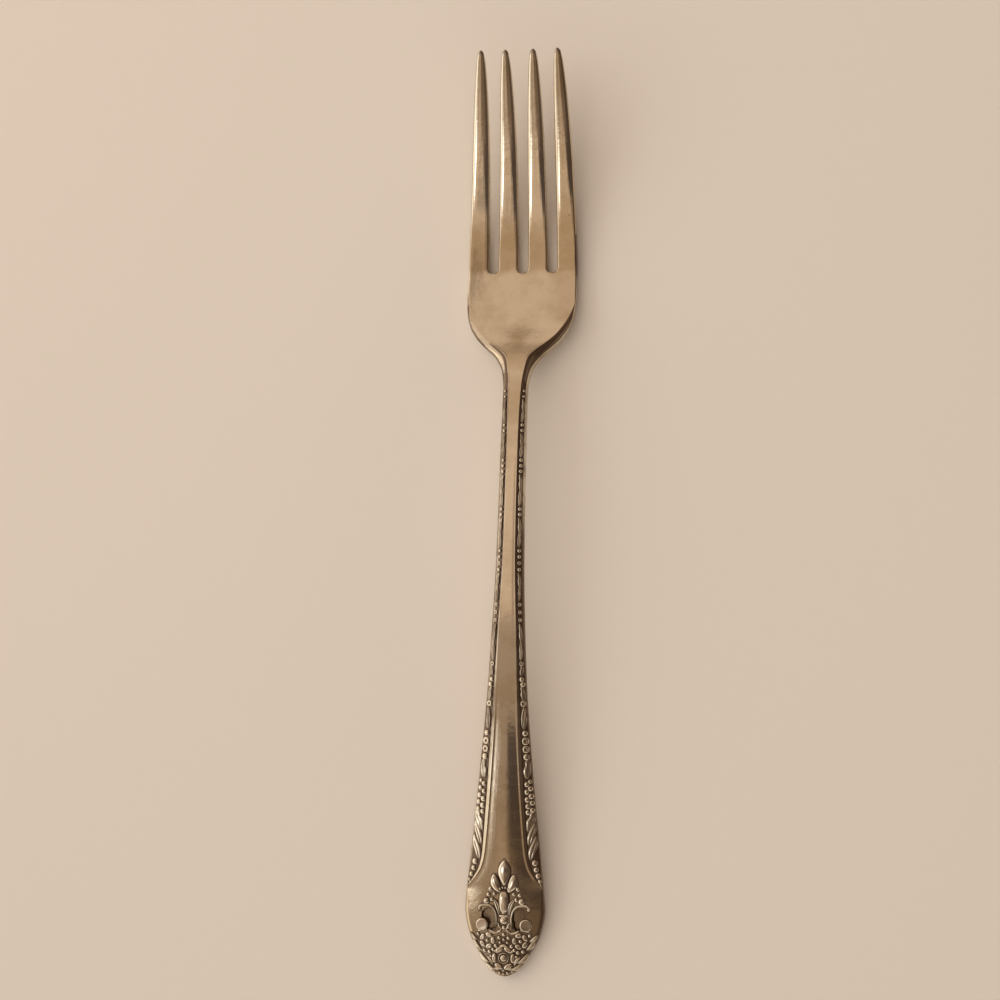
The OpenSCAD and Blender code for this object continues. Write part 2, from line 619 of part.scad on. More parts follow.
// The whole fork, moved so that its origin is under the middle of its length
module centred() translate([0, -tip_s / 2, 0]) children();

centred() tine(-outer_root_x, -outer_tips_w / 2);  // tine_outer_left
centred() tine(-outer_root_x / 3, -inner_tips_w / 2);  // tine_inner_left
centred() tine(outer_root_x / 3, inner_tips_w / 2);  // tine_inner_right
centred() tine(outer_root_x, outer_tips_w / 2);  // tine_outer_right
centred() palm();
centred() neck();
centred() shank();
centred() blade();
centred() terminal();
centred() shank_panel();
centred() blade_panel();
centred() beads(shank_s, neck_s, -1);  // shank_beads_left
centred() beads(shank_s, neck_s, 1);  // shank_beads_right
centred() leaves(shank_s, neck_s, -1);  // shank_leaves_left
centred() leaves(shank_s, neck_s, 1);  // shank_leaves_right
centred() beads(blade_s, shank_s, -1);  // blade_beads_left
centred() beads(blade_s, shank_s, 1);  // blade_beads_right
centred() leaves(blade_s, shank_s, -1);  // blade_leaves_left
centred() leaves(blade_s, shank_s, 1);  // blade_leaves_right
centred() leaf_centre();
centred() leaf_side(-1);  // leaf_left
centred() leaf_side(1);  // leaf_right
centred() bud();
centred() bead_arc();
centred() berries(-1);  // berries_left
centred() berries(1);  // berries_right
centred() scroll(-1);  // scroll_left
centred() scroll(1);  // scroll_right
centred() boss(-1);  // boss_left
centred() boss(1);  // boss_right
centred() stem_knot();
centred() rose();
centred() blossom(-1);  // blossom_left
centred() blossom(1);  // blossom_right
centred() spray(-1);  // spray_left
centred() spray(1);  // spray_right
centred() tip_beads();
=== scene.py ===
import math
import bmesh
import bpy
from mathutils import Matrix, Vector


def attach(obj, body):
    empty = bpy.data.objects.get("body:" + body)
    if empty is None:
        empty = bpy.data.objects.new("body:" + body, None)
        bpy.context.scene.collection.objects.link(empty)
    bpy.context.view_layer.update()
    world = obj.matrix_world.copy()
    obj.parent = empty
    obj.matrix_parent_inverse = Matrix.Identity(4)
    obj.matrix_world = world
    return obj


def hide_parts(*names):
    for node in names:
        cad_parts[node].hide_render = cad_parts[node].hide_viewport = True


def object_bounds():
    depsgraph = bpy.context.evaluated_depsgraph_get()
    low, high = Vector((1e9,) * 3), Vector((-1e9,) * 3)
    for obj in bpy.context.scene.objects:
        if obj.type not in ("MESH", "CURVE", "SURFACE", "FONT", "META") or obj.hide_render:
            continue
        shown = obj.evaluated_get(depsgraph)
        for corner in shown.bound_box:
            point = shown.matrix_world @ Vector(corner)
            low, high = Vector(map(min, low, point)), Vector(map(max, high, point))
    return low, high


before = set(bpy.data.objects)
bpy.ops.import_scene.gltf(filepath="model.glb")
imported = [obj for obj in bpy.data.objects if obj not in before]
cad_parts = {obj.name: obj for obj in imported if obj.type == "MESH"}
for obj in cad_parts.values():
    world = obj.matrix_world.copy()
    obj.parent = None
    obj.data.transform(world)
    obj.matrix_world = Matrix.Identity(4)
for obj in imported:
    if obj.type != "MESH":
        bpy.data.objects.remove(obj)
cadLow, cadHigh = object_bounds()
mm = 0.001
forkLength = (cadHigh.y - cadLow.y) / mm   # places along the fork are in mm from the end of the handle
print("frame loaded, fork length", round(forkLength, 2), "mm")


def smoothCurve(*points):   # a smooth line through the points (place, value), level beyond both ends
    last = len(points) - 1
    slopes = []
    for i in range(len(points)):
        a, b = max(i - 1, 0), min(i + 1, last)
        slopes.append((points[b][1] - points[a][1]) / (points[b][0] - points[a][0]))

    def value(x):
        x = min(max(x, points[0][0]), points[last][0])
        i = 0
        while i < last - 1 and x > points[i + 1][0]:
            i += 1
        h = points[i + 1][0] - points[i][0]
        t = (x - points[i][0]) / h
        rest = 1 - t
        return (rest * rest * ((1 + 2 * t) * points[i][1] + t * h * slopes[i])
                + t * t * ((3 - 2 * t) * points[i + 1][1] - rest * h * slopes[i + 1]))

    return value


def mix(a, b, t):
    return a + (b - a) * t


def ease(x, start, end):   # 0 before start, 1 after end, smooth between
    t = min(max((x - start) / (end - start), 0.0), 1.0)
    return t * t * (3 - 2 * t)


def roundedEdge(distance, radius, depth):   # drop of a rounded edge at a distance from it
    if distance >= radius:
        return 0.0
    k = 1 - max(distance, 0.0) / radius
    return depth * (1 - math.sqrt(max(1 - k * k, 0.0)))


# The struck body, in millimetres
bodyShape = {
    "slotRoot": 145.4,
    "slotZone": 140,   # the slots are nearer the tips than this
    "tineWidth": 4.14,
    "tinePitch": 6.28,
    "tinesRise": 12.6,
    "tinesSweep": 1.45,
    "palmHalf": 11.7,
    "palmStart": (124, 136),
    "palmBlend": (137.5, 141),   # from the worked face of the handle to the plain palm
    "dish": 0.6,
    "dishLoss": 0.75,   # how much flatter the tines are than the palm
    "edgeRadius": 0.36,
    "edgeDepth": 0.3,
    "backEdge": (0.7, 0.6),   # width and depth of the rounding under the handle
    "terminalEdge": (0.95, 0.5),   # the same on the face of the terminal
    "terminalEdgeFade": (13.5, 17.6),
    "bladeEdge": 0.4,
    "terminalCamber": 0.42,
    "bladeStart": (17, 23),
    "backStart": (17, 22),
    "panelFoot": 17.6,
    "panelFootEnd": 21,
    "panelCamber": 0.2,
    "panelFlat": (96, 122),   # where the camber runs out
    "panelFade": (126.5, 131),   # where the raised edges run out
    "rimHeight": 0.05,
    "flankDrop": 0.15,
    "grooveWidth": 0.14,
    "grooveDepth": 0.22,
    "shankGroove": 1.7,   # how much wider the groove is on the shank
    "borderSwell": 0.08,
    "borderNarrows": (46, 72),
    "pocketDepth": 0.85,
    "pocketX": 3.15,
    "pocketTop": (12.1, 1.5),   # place and radius of its round top
    "pocketFoot": (10.2, 1.2),
    "pocketZone": (8, 14.5),
}
slotRadius = (bodyShape["tinePitch"] - bodyShape["tineWidth"]) / 2
jointPlace = bodyShape["slotRoot"] + slotRadius
tineLength = forkLength - bodyShape["slotRoot"]

outline = smoothCurve(
    (3.7, 4.61), (6.9, 6.57), (8.3, 7.13), (10.5, 7.75), (12.9, 8.1), (14.2, 8.08), (18.2, 7.75), (21.2, 7.45),
    (25.2, 7.05), (31, 6.45), (39.2, 5.6), (55.3, 4.2), (69, 3.42), (83.7, 2.86), (108.6, 2.61), (119.2, 2.55),
    (121.4, 2.74), (123.7, 3.22), (124.8, 3.75), (125.9, 4.4), (127.1, 5.35), (128.2, 6.57), (129.3, 7.75),
    (130.5, 8.85), (131.6, 9.6), (132.8, 10.35), (135.1, 11.12), (137.5, 11.48), (139.8, 11.65), (145.4, 11.57),
    (149, 11.48))
endRoundness = smoothCurve((0, 2.42), (3.7, 2.397))
panelEdge = smoothCurve(
    (17.6, 7.5), (18.4, 7.1), (19.2, 6.5), (20, 5.9), (21.3, 5.1), (23.2, 4.5), (25.4, 4.15), (31, 3.65), (39, 3.1),
    (50, 2.48), (60, 2.1), (69, 1.8), (84, 1.25), (108, 1.1), (120, 1.34), (123.5, 1.7), (126.5, 2.4), (128, 3.7),
    (129, 4.9), (130, 6.0), (131.8, 7.85), (135.2, 10.1), (138, 11.2), (140, 11.45))
flankWidths = smoothCurve(
    (17.6, 0.05), (18.4, 0.1), (20, 0.28), (23.2, 0.38), (31, 0.52), (50, 0.5), (60, 0.38), (69, 0.28), (84, 0.18),
    (108, 0.16), (122, 0.16))
topLine = smoothCurve(
    (0, 1.95), (18.5, 4.12), (28, 5.35), (39, 6.7), (50, 7.8), (60, 8.55), (72, 9.15), (84, 9.4), (96, 9.45),
    (106, 9.3), (114, 8.95), (120, 8.3), (125, 7.05), (130, 5.35), (135, 3.7), (139, 2.75), (142, 2.4), (145.4, 2.3))
thickness = smoothCurve((0, 2.2), (18.5, 2.2), (120, 3.5), (130, 3.0), (145, 2.3))
borderSlope = smoothCurve((18.5, 0.15), (40, 0.24), (60, 0.34), (85, 0.45), (120, 0.48), (126, 0.38), (130, 0.24),
                          (135, 0.2), (139, 0.2))
tineWidths = smoothCurve((0, 1), (0.1, 1), (0.3, 0.955), (0.52, 0.9), (0.68, 0.81), (0.79, 0.72), (0.88, 0.6),
                         (0.945, 0.48), (0.975, 0.38), (0.993, 0.26), (1, 0.1))
tineDepths = smoothCurve((0, 1), (0.6, 0.8), (0.9, 0.6), (0.97, 0.46), (0.993, 0.3), (1, 0.1))
outerTineLine = smoothCurve((145, 9.43), (148, 9.42), (168, 8.88), (180, 8.47), (190, 8.1))
innerTineLine = smoothCurve((145, 3.14), (148, 3.14), (168, 2.99), (180, 2.94), (190, 2.93))


def halfWidth(s):
    if s < 3.7:
        return endRoundness(s) * math.sqrt(max(s, 0.0))
    return outline(s)


def topHeight(s):
    if s <= bodyShape["slotRoot"]:
        return topLine(s)
    rise = (s - bodyShape["slotRoot"]) / tineLength
    return topLine(s) + bodyShape["tinesRise"] * rise ** bodyShape["tinesSweep"]


def edgeDistance(x, s):   # from the outline, measured square to it
    step = 0.05
    endLean = 8.0
    lean = (halfWidth(s + step) - halfWidth(max(s - step, 0))) / (2 * step) if s > step else endLean
    return (halfWidth(s) - abs(x)) / math.sqrt(1 + lean * lean)


def slotDistance(x, s):
    gap = min(abs(abs(x) - bodyShape["tinePitch"]), abs(x))
    return math.hypot(gap, s - jointPlace) - slotRadius


def pocketDistance(x, s):   # below zero inside one of the two arched pockets
    top, foot = bodyShape["pocketTop"], bodyShape["pocketFoot"]
    across = abs(abs(x) - bodyShape["pocketX"])
    along = s - foot[0]
    height = top[0] - foot[0]
    taper = (foot[1] - top[1]) / height
    square = math.sqrt(1 - taper * taper)
    k = along * square - across * taper
    if k < 0:
        return math.hypot(across, along) - foot[1]
    if k > square * height:
        return math.hypot(across, along - height) - top[1]
    return across * square + along * taper - foot[1]


def nearPocket(s):
    return bodyShape["pocketZone"][0] < s < bodyShape["pocketZone"][1]


def flankWidth(s):   # the slope from the raised panel down to the groove
    return min(flankWidths(s), 0.4 * (halfWidth(s) - panelEdge(s)))


def grooveWidth(s):
    wide = mix(1, bodyShape["shankGroove"], ease(s, 46, 80))
    return min(bodyShape["grooveWidth"] * wide, 0.2 * (halfWidth(s) - panelEdge(s)))


def borderStart(s):
    return panelEdge(s) + flankWidth(s) + grooveWidth(s)


def rimWidth(s):   # the raised edge of the panel
    return min(0.2 * panelEdge(s) + 0.02, 0.5)


def plainTop(x, s):   # the face with its camber and dish, before any edge is worked
    blade = ease(s, *bodyShape["bladeStart"])
    panel = blade * (1 - ease(s, *bodyShape["panelFlat"]))
    low = bodyShape["panelCamber"] * panel * (abs(x) / max(panelEdge(s), 1.0)) ** 2 * min(panelEdge(s) / 4.0, 1)
    low += bodyShape["terminalCamber"] * (1 - blade) * (abs(x) / max(halfWidth(s), 0.1)) ** 2.4 * ease(s, 0, 6)
    rise = bodyShape["dish"] * ease(s, *bodyShape["palmStart"]) * (x / bodyShape["palmHalf"]) ** 2
    return topHeight(s) - low + rise


def handleTop(x, s):   # the panel, then out from it its flank, the groove and the border
    a = abs(x)
    w = halfWidth(s)
    p = min(panelEdge(s), w)
    plain = plainTop(x, s)
    depth = bodyShape["edgeDepth"]
    if s < bodyShape["panelFoot"]:
        near = ease(s, *bodyShape["terminalEdgeFade"])
        wide, deep = bodyShape["terminalEdge"]
        wide, deep = mix(wide, bodyShape["bladeEdge"], near), mix(deep, depth, near)
        return plain - roundedEdge(edgeDistance(x, s), wide, deep)
    fade = 1 - ease(s, *bodyShape["panelFade"])
    start = ease(s, bodyShape["panelFoot"], bodyShape["panelFootEnd"])
    rim = rimWidth(s)
    ridge = bodyShape["rimHeight"] * fade * start * (1 - 0.7 * ease(s, 60, 90))
    if a <= p:
        return plain + ridge * ease(a, p - rim, p - 0.1 * rim)
    f = max(flankWidth(s), 0.001)
    g = max(grooveWidth(s), 0.001)
    edge = plainTop(p, s)
    flankEnd = edge - bodyShape["flankDrop"] * min(1, f / 0.45) * fade * start
    if a < p + f:
        return mix(edge + ridge, flankEnd, (a - p) / f)
    floorHeight = flankEnd - bodyShape["grooveDepth"] * fade * start
    if a < p + f + g:
        return mix(flankEnd, floorHeight, ease(a, p + f, p + f + g))
    out = a - p - f - g
    swell = bodyShape["borderSwell"] * math.sin(math.pi * min(out / max(w - p - f - g, 0.01), 1)) * fade
    z = floorHeight - borderSlope(s) * out * start + swell
    return z - roundedEdge(edgeDistance(x, s), min(bodyShape["edgeRadius"], 0.45 * (w - p) + 0.02), depth)


def palmTop(x, s):   # the plain face with its rounded edges and slots
    edge = min(edgeDistance(x, s), slotDistance(x, s))
    radius = bodyShape["edgeRadius"]
    return plainTop(x, s) - roundedEdge(edge, radius, radius)


def bodyTop(x, s):   # the finished upper face of the handle, the neck and the palm
    start, end = bodyShape["palmBlend"]
    if s < start:
        return handleTop(x, s)
    if s > end:
        return palmTop(x, s)
    return mix(handleTop(x, s), palmTop(x, s), ease(s, start, end))


def bodyBack(x, s):   # a flat plate under the terminal and the palm, hollow sides along the shank
    a = abs(x) / max(halfWidth(s), 0.05)
    t = thickness(s)
    edge = edgeDistance(x, s)
    if s > bodyShape["slotZone"]:
        edge = min(edge, slotDistance(x, s))
    radius = bodyShape["edgeRadius"]
    palm = plainTop(x, s) - t + roundedEdge(edge, radius, radius)
    plate = plainTop(x, s) - t + roundedEdge(edge, *bodyShape["backEdge"])
    w = halfWidth(s)
    drop = bodyShape["grooveDepth"] + bodyShape["flankDrop"]
    sideTop = plainTop(w, s) - drop - borderSlope(s) * max(w - borderStart(s), 0) * 0.9
    back = topHeight(s) - t
    shank = back + 0.45 * (sideTop - back) * max((a - 0.3) / 0.7, 0) ** 2.2
    z = mix(plate, shank, ease(s, *bodyShape["backStart"]))
    return max(mix(z, palm, ease(s, *bodyShape["palmStart"])), 0.0)


# Columns across the upper face: half a slot, a tine, a slot and a tine on each side of the middle one
tineSteps = [-1, -0.985, -0.94, -0.87, -0.76, -0.52, -0.26, 0, 0.26, 0.52, 0.76, 0.87, 0.94, 0.985, 1]
slotColumns = 9
pitchColumns = len(tineSteps) + slotColumns
halfColumns = 2 * len(tineSteps) + slotColumns + slotColumns // 2
slotTurn = 180 / (slotColumns + 1)   # degrees between two columns round the root of a slot
halfTine = bodyShape["tineWidth"] / 2
headColumns = [slotRadius * math.sin(math.radians(slotTurn * k)) for k in range(1, slotColumns // 2 + 1)]
headColumns += [innerTineLine(bodyShape["slotRoot"]) + halfTine * u for u in tineSteps]
headColumns += [bodyShape["tinePitch"] - slotRadius * math.cos(math.radians(slotTurn * k))
                for k in range(1, slotColumns + 1)]
headColumns += [outerTineLine(bodyShape["slotRoot"]) + halfTine * u for u in tineSteps]
panelSteps, rimSteps, flankSteps, grooveSteps, borderSteps, edgeSteps = 11, 5, 6, 3, 13, 5
markedFrom = (15.5, 18.2)   # where the columns start to follow the panel, the groove and the border
headFrom = (133, 142.5)   # where they turn to the tines and slots
frontFrom = 137   # where the rows start to bend round the slots


def handleColumn(k, s):
    w = halfWidth(s)
    even = w * math.sin(math.pi / 2 * (k / halfColumns) ** 1.04) ** 0.97
    if s < markedFrom[0]:
        return even
    p = min(panelEdge(s), w * 0.985)
    marks = [(0, 0.0), (panelSteps, p - rimWidth(s)), (rimSteps, p), (flankSteps, p + max(flankWidth(s), 0.01)),
             (grooveSteps, p + max(flankWidth(s), 0.01) + max(grooveWidth(s), 0.01)),
             (borderSteps, w - min(bodyShape["edgeRadius"], 0.4 * (w - p)))]
    first = 0
    for (_, a), (count, b) in zip(marks, marks[1:]):
        if k <= first + count:
            x = mix(a, b, (k - first) / count)
            return mix(even, x, ease(s, *markedFrom))
        first += count
    e = w - marks[-1][1]
    x = w - e + e * math.sin(math.pi / 2 * (k - halfColumns + edgeSteps) / edgeSteps)
    return mix(even, x, ease(s, *markedFrom))


def columnPlace(i, s):   # i counts from the middle column, below zero to the left
    k = abs(i)
    if k == 0:
        return 0.0
    x = handleColumn(k, s) if s < headFrom[1] else 0.0
    if s > headFrom[0]:
        head = headColumns[k - 1] * halfWidth(s) / halfWidth(bodyShape["slotRoot"])
        x = mix(x, head, ease(s, *headFrom))
    return math.copysign(x, i)


def frontPlace(i):   # where a column ends: on the round root of a slot, or on the joint line of a tine
    x = headColumns[abs(i) - 1] if i else 0.0
    gap = min(abs(x), abs(x - bodyShape["tinePitch"]))
    if gap >= slotRadius:
        return jointPlace
    return jointPlace - math.sqrt(slotRadius ** 2 - gap ** 2)


def evenly(start, end, step):
    count = math.ceil((end - start) / step)
    return [mix(start, end, k / count) for k in range(count)]


# Rows along the body: close together at the round end and at the roots of the slots
nearJoint = [0.75, 0.55, 0.4, 0.3, 0.21, 0.13, 0.07, 0.03, 0]
endRows, endLength = 16, 2.2
rows = [endLength * (k / endRows) ** 2 for k in range(endRows)]
for start, end, step in ((endLength, 17, 0.17), (17, 22, 0.25), (22, 119, 0.75), (119, 140, 0.35),
                         (140, jointPlace - nearJoint[0], 0.3)):
    rows += evenly(start, end, step)
rows += [jointPlace - d for d in nearJoint]
wallSteps = 6
tineRings = 80


def meetPocket(x, s):   # a point near the lip of a pocket moves onto it
    reach = 0.085
    d = pocketDistance(x, s)
    if abs(d) > reach:
        return x, s
    step = 0.01
    dx = (pocketDistance(x + step, s) - pocketDistance(x - step, s)) / (2 * step)
    ds = (pocketDistance(x, s + step) - pocketDistance(x, s - step)) / (2 * step)
    return x - d * dx, s - d * ds


def bodyPoint(i, row, onTop):
    s = row + (frontPlace(i) - jointPlace) * ease(row, frontFrom, jointPlace)
    x = columnPlace(i, s)
    if not onTop:
        return Vector((x, s, bodyBack(x, s)))
    if nearPocket(s) and abs(x) > 1:
        x, s = meetPocket(x, s)
    z = bodyTop(x, s)
    if nearPocket(s) and pocketDistance(x, s) < -0.01:
        z -= bodyShape["pocketDepth"]
    return Vector((x, s, z))


def closedRing(top, back):   # once round the body: its face, right wall, back and left wall
    right = [top[-1].lerp(back[0], k / wallSteps) for k in range(1, wallSteps)]
    left = [back[-1].lerp(top[0], k / wallSteps) for k in range(1, wallSteps)]
    return top + right + back + left + [top[0].copy()]


def bodyRing(row):
    top = [bodyPoint(i, row, True) for i in range(-halfColumns, halfColumns + 1)]
    back = [bodyPoint(i, row, False) for i in range(halfColumns, -halfColumns - 1, -1)]
    return closedRing(top, back)


def tineRing(middle, s, side):   # a tine's section, slimmer and rounder towards the tip
    t = (s - bodyShape["slotRoot"]) / tineLength
    xc = middle(s) * side
    hw = halfTine * tineWidths(t)
    deep = thickness(s) / 2 * tineDepths(t)
    k = ease(t, 0.02, 0.9)
    rx = min(mix(bodyShape["edgeRadius"], 0.74 * hw, k), hw)
    rz = min(mix(bodyShape["edgeRadius"], 0.85 * deep, k), deep)
    top, back = [], []
    for u in tineSteps:
        x = xc + hw * u
        drop = roundedEdge(hw * (1 - abs(u)), rx, rz)
        dish = bodyShape["dish"] * (1 - bodyShape["dishLoss"] * ease(t, 0, 0.45))
        z = topHeight(s) + dish * (x / bodyShape["palmHalf"]) ** 2
        top.append(Vector((x, s, z - drop)))
        back.append(Vector((x, s, max(z - 2 * deep + drop, 0.0))))
    back.reverse()
    return closedRing(top, back)


def bentGrid(bm, rings):   # a grid whose rows are bent to the rings
    before = len(bm.verts)
    bmesh.ops.create_grid(bm, x_segments=len(rings[0]) - 1, y_segments=len(rings) - 1, size=1)
    bm.verts.ensure_lookup_table()
    wanted = [p for ring in rings for p in ring]
    for k, p in enumerate(wanted):
        bm.verts[before + k].co = p


def buildBody():
    bm = bmesh.new()
    rings = [bodyRing(row) for row in rows]
    bentGrid(bm, rings)
    front = rings[-1]
    under = 2 * (2 * halfColumns + 1) + wallSteps - 2   # the point under front[k] is front[under - k]
    for slot in (-1, 0, 1):   # the round root of each slot
        first = halfColumns + slot * pitchColumns - slotColumns // 2 - 1
        places = range(first, first + slotColumns + 2)
        walls = [(front[k], front[under - k]) for k in places]
        bentGrid(bm, [[a.lerp(b, 1 - j / wallSteps) for a, b in walls] for j in range(wallSteps + 1)])
    tines = ((-1, outerTineLine), (-1, innerTineLine), (1, innerTineLine), (1, outerTineLine))
    for number, (side, middle) in enumerate(tines):
        places = range(number * pitchColumns, number * pitchColumns + len(tineSteps))
        tine = [closedRing([front[k] for k in places], [front[under - k] for k in reversed(places)])]
        for k in range(1, tineRings + 1):
            s = mix(jointPlace, forkLength, 1 - (1 - k / tineRings) ** 1.7)
            tine.append(tineRing(middle, s, side))
        bentGrid(bm, tine)
    bmesh.ops.remove_doubles(bm, verts=bm.verts, dist=0.003)
    bmesh.ops.holes_fill(bm, edges=[e for e in bm.edges if e.is_boundary], sides=0)
    bmesh.ops.recalc_face_normals(bm, faces=bm.faces)
    return bm


def bodyNormal(x, s):
    step = 0.06
    across = (bodyTop(x + step, s) - bodyTop(x - step, s)) / (2 * step)
    along = (bodyTop(x, s + step) - bodyTop(x, s - step)) / (2 * step)
    return Vector((-across, -along, 1)).normalized()


def onBody(x, s, h):   # a point h above the finished body
    return Vector((x, s, bodyTop(x, s))) + bodyNormal(x, s) * h


# How strong the oxide, the painted shade and the tarnish are on the body, from 0 to 1
bodyWear = {
    # share of the painted shade on the right of the panel
    "panelPaintedShade": 0.55,
    "outerRub": 0.85,   # how bright the outer side of the border is rubbed
    # strength of the painted shade band on the right shoulder
    "rightShoulderShade": 0.92,
    "reliefOxide": 0.74,
    "tipOxide": 0.72,
    "pocketOxide": 0.62,
    "tineTips": 0.75,
    "neck": 0.9,
    "neckEdge": 0.85,
    "blade": 0.55,
    "bladeFoot": 0.4,
    "shank": 0.5,
    "tines": 0.12,
    "tineEnds": 0.1,
    # strength of the painted shade on the right side of the palm
    "rightSidePaintedShade": 0.6,
    "palm": 0.16,
}
# painted shade on the left border and edge, by place along the fork
leftPaintedShade = smoothCurve((18, 0), (22, 0.4), (30, 0.4), (48, 0.66), (112, 0.66), (122, 0.76), (134, 0.76), (141, 0.55),
                       (146, 0))
# painted shade on the right edge, by place along the fork
rightPaintedShade = smoothCurve((0, 0.9), (86, 0.9), (100, 0.5), (134, 0.4), (138, 0.25), (142, 0.3), (145, 0.8), (152, 0.8),
                        (158, 0))
reliefSpots = []   # place and radius of the raised work on the terminal, filled in as it is made
terminalReach = 26   # work nearer the end than this is kept in it


def paintedEdgeShade(x, s):   # painted shade along the borders: on the left border, the right edge and the right of the panel
    if x > 0:
        edge = rightPaintedShade(s) * (1 - ease(edgeDistance(x, s), 0.25, 0.45))
        inner = bodyWear["panelPaintedShade"] * ease(s, 36, 46) * (1 - ease(s, 118, 124))
        return max(edge, inner * ease(x, panelEdge(s) - 0.25, panelEdge(s) + 0.05))
    start = mix(borderStart(s), panelEdge(s), ease(s, 32, 44))
    inner = ease(-x, start - 0.12, start + 0.08) * (1 - 0.4 * ease(s, 120, 128)) * (1 - ease(s, 128, 135))
    edge = (1 - ease(edgeDistance(x, s), 0.3, 0.6)) * ease(s, 110, 122)
    return leftPaintedShade(s) * max(inner, edge)


def borderOxide(a, s):   # in the groove and on the inner part of the border
    w = halfWidth(s)
    q = (a - borderStart(s)) / max(w - borderStart(s), 0.05)
    thin = ease(s, *bodyShape["borderNarrows"])
    wall = ease(a, panelEdge(s) + mix(0.55, 0.0, thin) * flankWidth(s),
                borderStart(s) - mix(0.5, 1.3, thin) * grooveWidth(s))
    plain = mix(0.8, 0.5, thin)
    floor = 1 - bodyWear["outerRub"] * ease(q, plain, plain + 0.2)
    floor *= 1 - ease(s, 119.5, 122) * 0.75 * ease(q, 0.1, 0.3)
    return wall * floor * (1 - ease(s, 128.5, 131)) * ease(s, 17.8, 19)


def rightShoulderShade(a, s):   # painted shade: a dark band along the right shoulder of the palm
    q = (a - panelEdge(s)) / max(halfWidth(s) - panelEdge(s), 0.05)
    band = ease(q, -0.02, 0.1) * (1 - ease(q, 0.6, 0.78)) * ease(s, 125, 127.5) * (1 - ease(s, 137, 139.5))
    return bodyWear["rightShoulderShade"] * band


def terminalOxide(x, s):   # around the raised work, and all over the tip
    near = min((math.hypot(x - c[0], s - c[1]) - c[2] for c in reliefSpots), default=9)
    around = bodyWear["reliefOxide"] * (1 - ease(near, 0.02, 0.3))
    inside = ease(halfWidth(s) - abs(x), 0.15, 0.45)
    return max(around, bodyWear["tipOxide"] * (1 - ease(s, 7.8, 8.8)) * inside * ease(s, 0.5, 1.8))


def oxideAndShadeOnBody(x, s):   # 1 where oxide stays and where shade is painted, 0 where the metal is rubbed bright
    a = abs(x)
    dark = 0.0
    if bodyShape["panelFoot"] < s < bodyShape["panelFade"][1]:
        dark = borderOxide(a, s)
    if x > 0 and 125 < s < 139.5:
        dark = max(dark, rightShoulderShade(a, s))
    if s < 25 and a < halfWidth(s) - 0.2:
        dark = max(dark, terminalOxide(x, s))
    if nearPocket(s) and pocketDistance(x, s) < 0.02:
        # the pocket floors keep oxide; in the right pocket a painted shadow of the boss darkens the floor along its
        # wall
        bossShadow = ease(-pocketDistance(x, s), 0.5, 0.0) * ease(x * 0.6 - (s - 11.4), 0.5, 3)
        dark = mix(bodyWear["pocketOxide"], 1.0, bossShadow)
    return max(dark, paintedEdgeShade(x, s))


def tarnishAndShadeOnBody(x, s):   # broad dull areas: the roots of the tines, the neck and the lower handle, and painted shade on the right side of the palm
    wave = 0.35 * math.sin(1.1 * x + 0.6)
    roots = ease(s + wave, 144.4, 147.2) * (1 - ease(s, 149, 160))
    neck = bodyWear["neck"] * math.exp(-((x + 0.2) / 2.2) ** 2 - ((s - 129.5) / 3.2) ** 2)
    edge = bodyWear["neckEdge"] * math.exp(-((s - 126.5) / 3.2) ** 2)
    low = bodyWear["blade"] * (1 - ease(s, 30, 95)) + bodyWear["bladeFoot"] * (1 - ease(s, 24, 44))
    upper = bodyWear["shank"] * math.exp(-((s - 117) / 6) ** 2)
    tines = bodyWear["tines"] * ease(s, 143, 150) + bodyWear["tineEnds"] * ease(s, 182, 189)
    # painted shade: the right side of the palm darker
    right = bodyWear["rightSidePaintedShade"] * ease(x, 2, 10) * ease(s, 132, 136)
    palm = bodyWear["palm"] * ease(s, 130, 136)
    return min(max(roots, neck, edge, low, upper) + max(tines, right, palm), 1)


def markWear(bm):   # writes how dark and how dull each point of the body is, painted shade included, for its material
    oxideAndShade = bm.verts.layers.float.new("oxideAndShade")
    # the tarnish attribute also carries the painted shade on the right of the palm
    tarnish = bm.verts.layers.float.new("tarnish")
    faceDepth, backRise = 1.1, 0.6   # points under the face and down the walls count, those of the back don't
    for v in bm.verts:
        x, s, z = v.co
        v[tarnish] = tarnishAndShadeOnBody(x, s)
        if s > 180:
            v[oxideAndShade] = bodyWear["tineTips"] * ease(s, 187.9, 189.7)
        elif s < bodyShape["slotZone"]:
            if z > bodyTop(x, s) - faceDepth or z > bodyBack(x, s) + backRise:
                v[oxideAndShade] = oxideAndShadeOnBody(x, s)
        elif s < 158 and abs(x) > 9:
            v[oxideAndShade] = paintedEdgeShade(x, s)


# Raised work: every piece is a small grid laid on the body and closed below its surface
sunk, thinSunk = 0.06, 0.05   # how far forms start below the body's face, the second for wires and border leaves
# Oxide stays below the first height and metal is bright above the second, as shares of a form's height
oxideLevels = {
    "mound": (0.36, 0.92),
    "ring": (0.4, 0.95),
    "leaf": (0.34, 0.86),
    "wire": (0.55, 1.3),
}


def layGrid(bm, columns, rowsCount, shape, low, high, edgeShade=0):   # oxide below low, bright metal above high, painted edge shade laid on where asked
    layer = bm.verts.layers.float.get("oxideAndShade") or bm.verts.layers.float.new("oxideAndShade")
    before = len(bm.verts)
    bmesh.ops.create_grid(bm, x_segments=columns, y_segments=rowsCount, size=1)
    bm.verts.ensure_lookup_table()
    k = before
    for j in range(rowsCount + 1):
        for i in range(columns + 1):
            x, s, h = shape(i / columns, j / rowsCount)
            bm.verts[k].co = onBody(x, s, h)
            bm.verts[k][layer] = max(1 - ease(h, low, high), edgeShade * paintedEdgeShade(x, s))
            k += 1


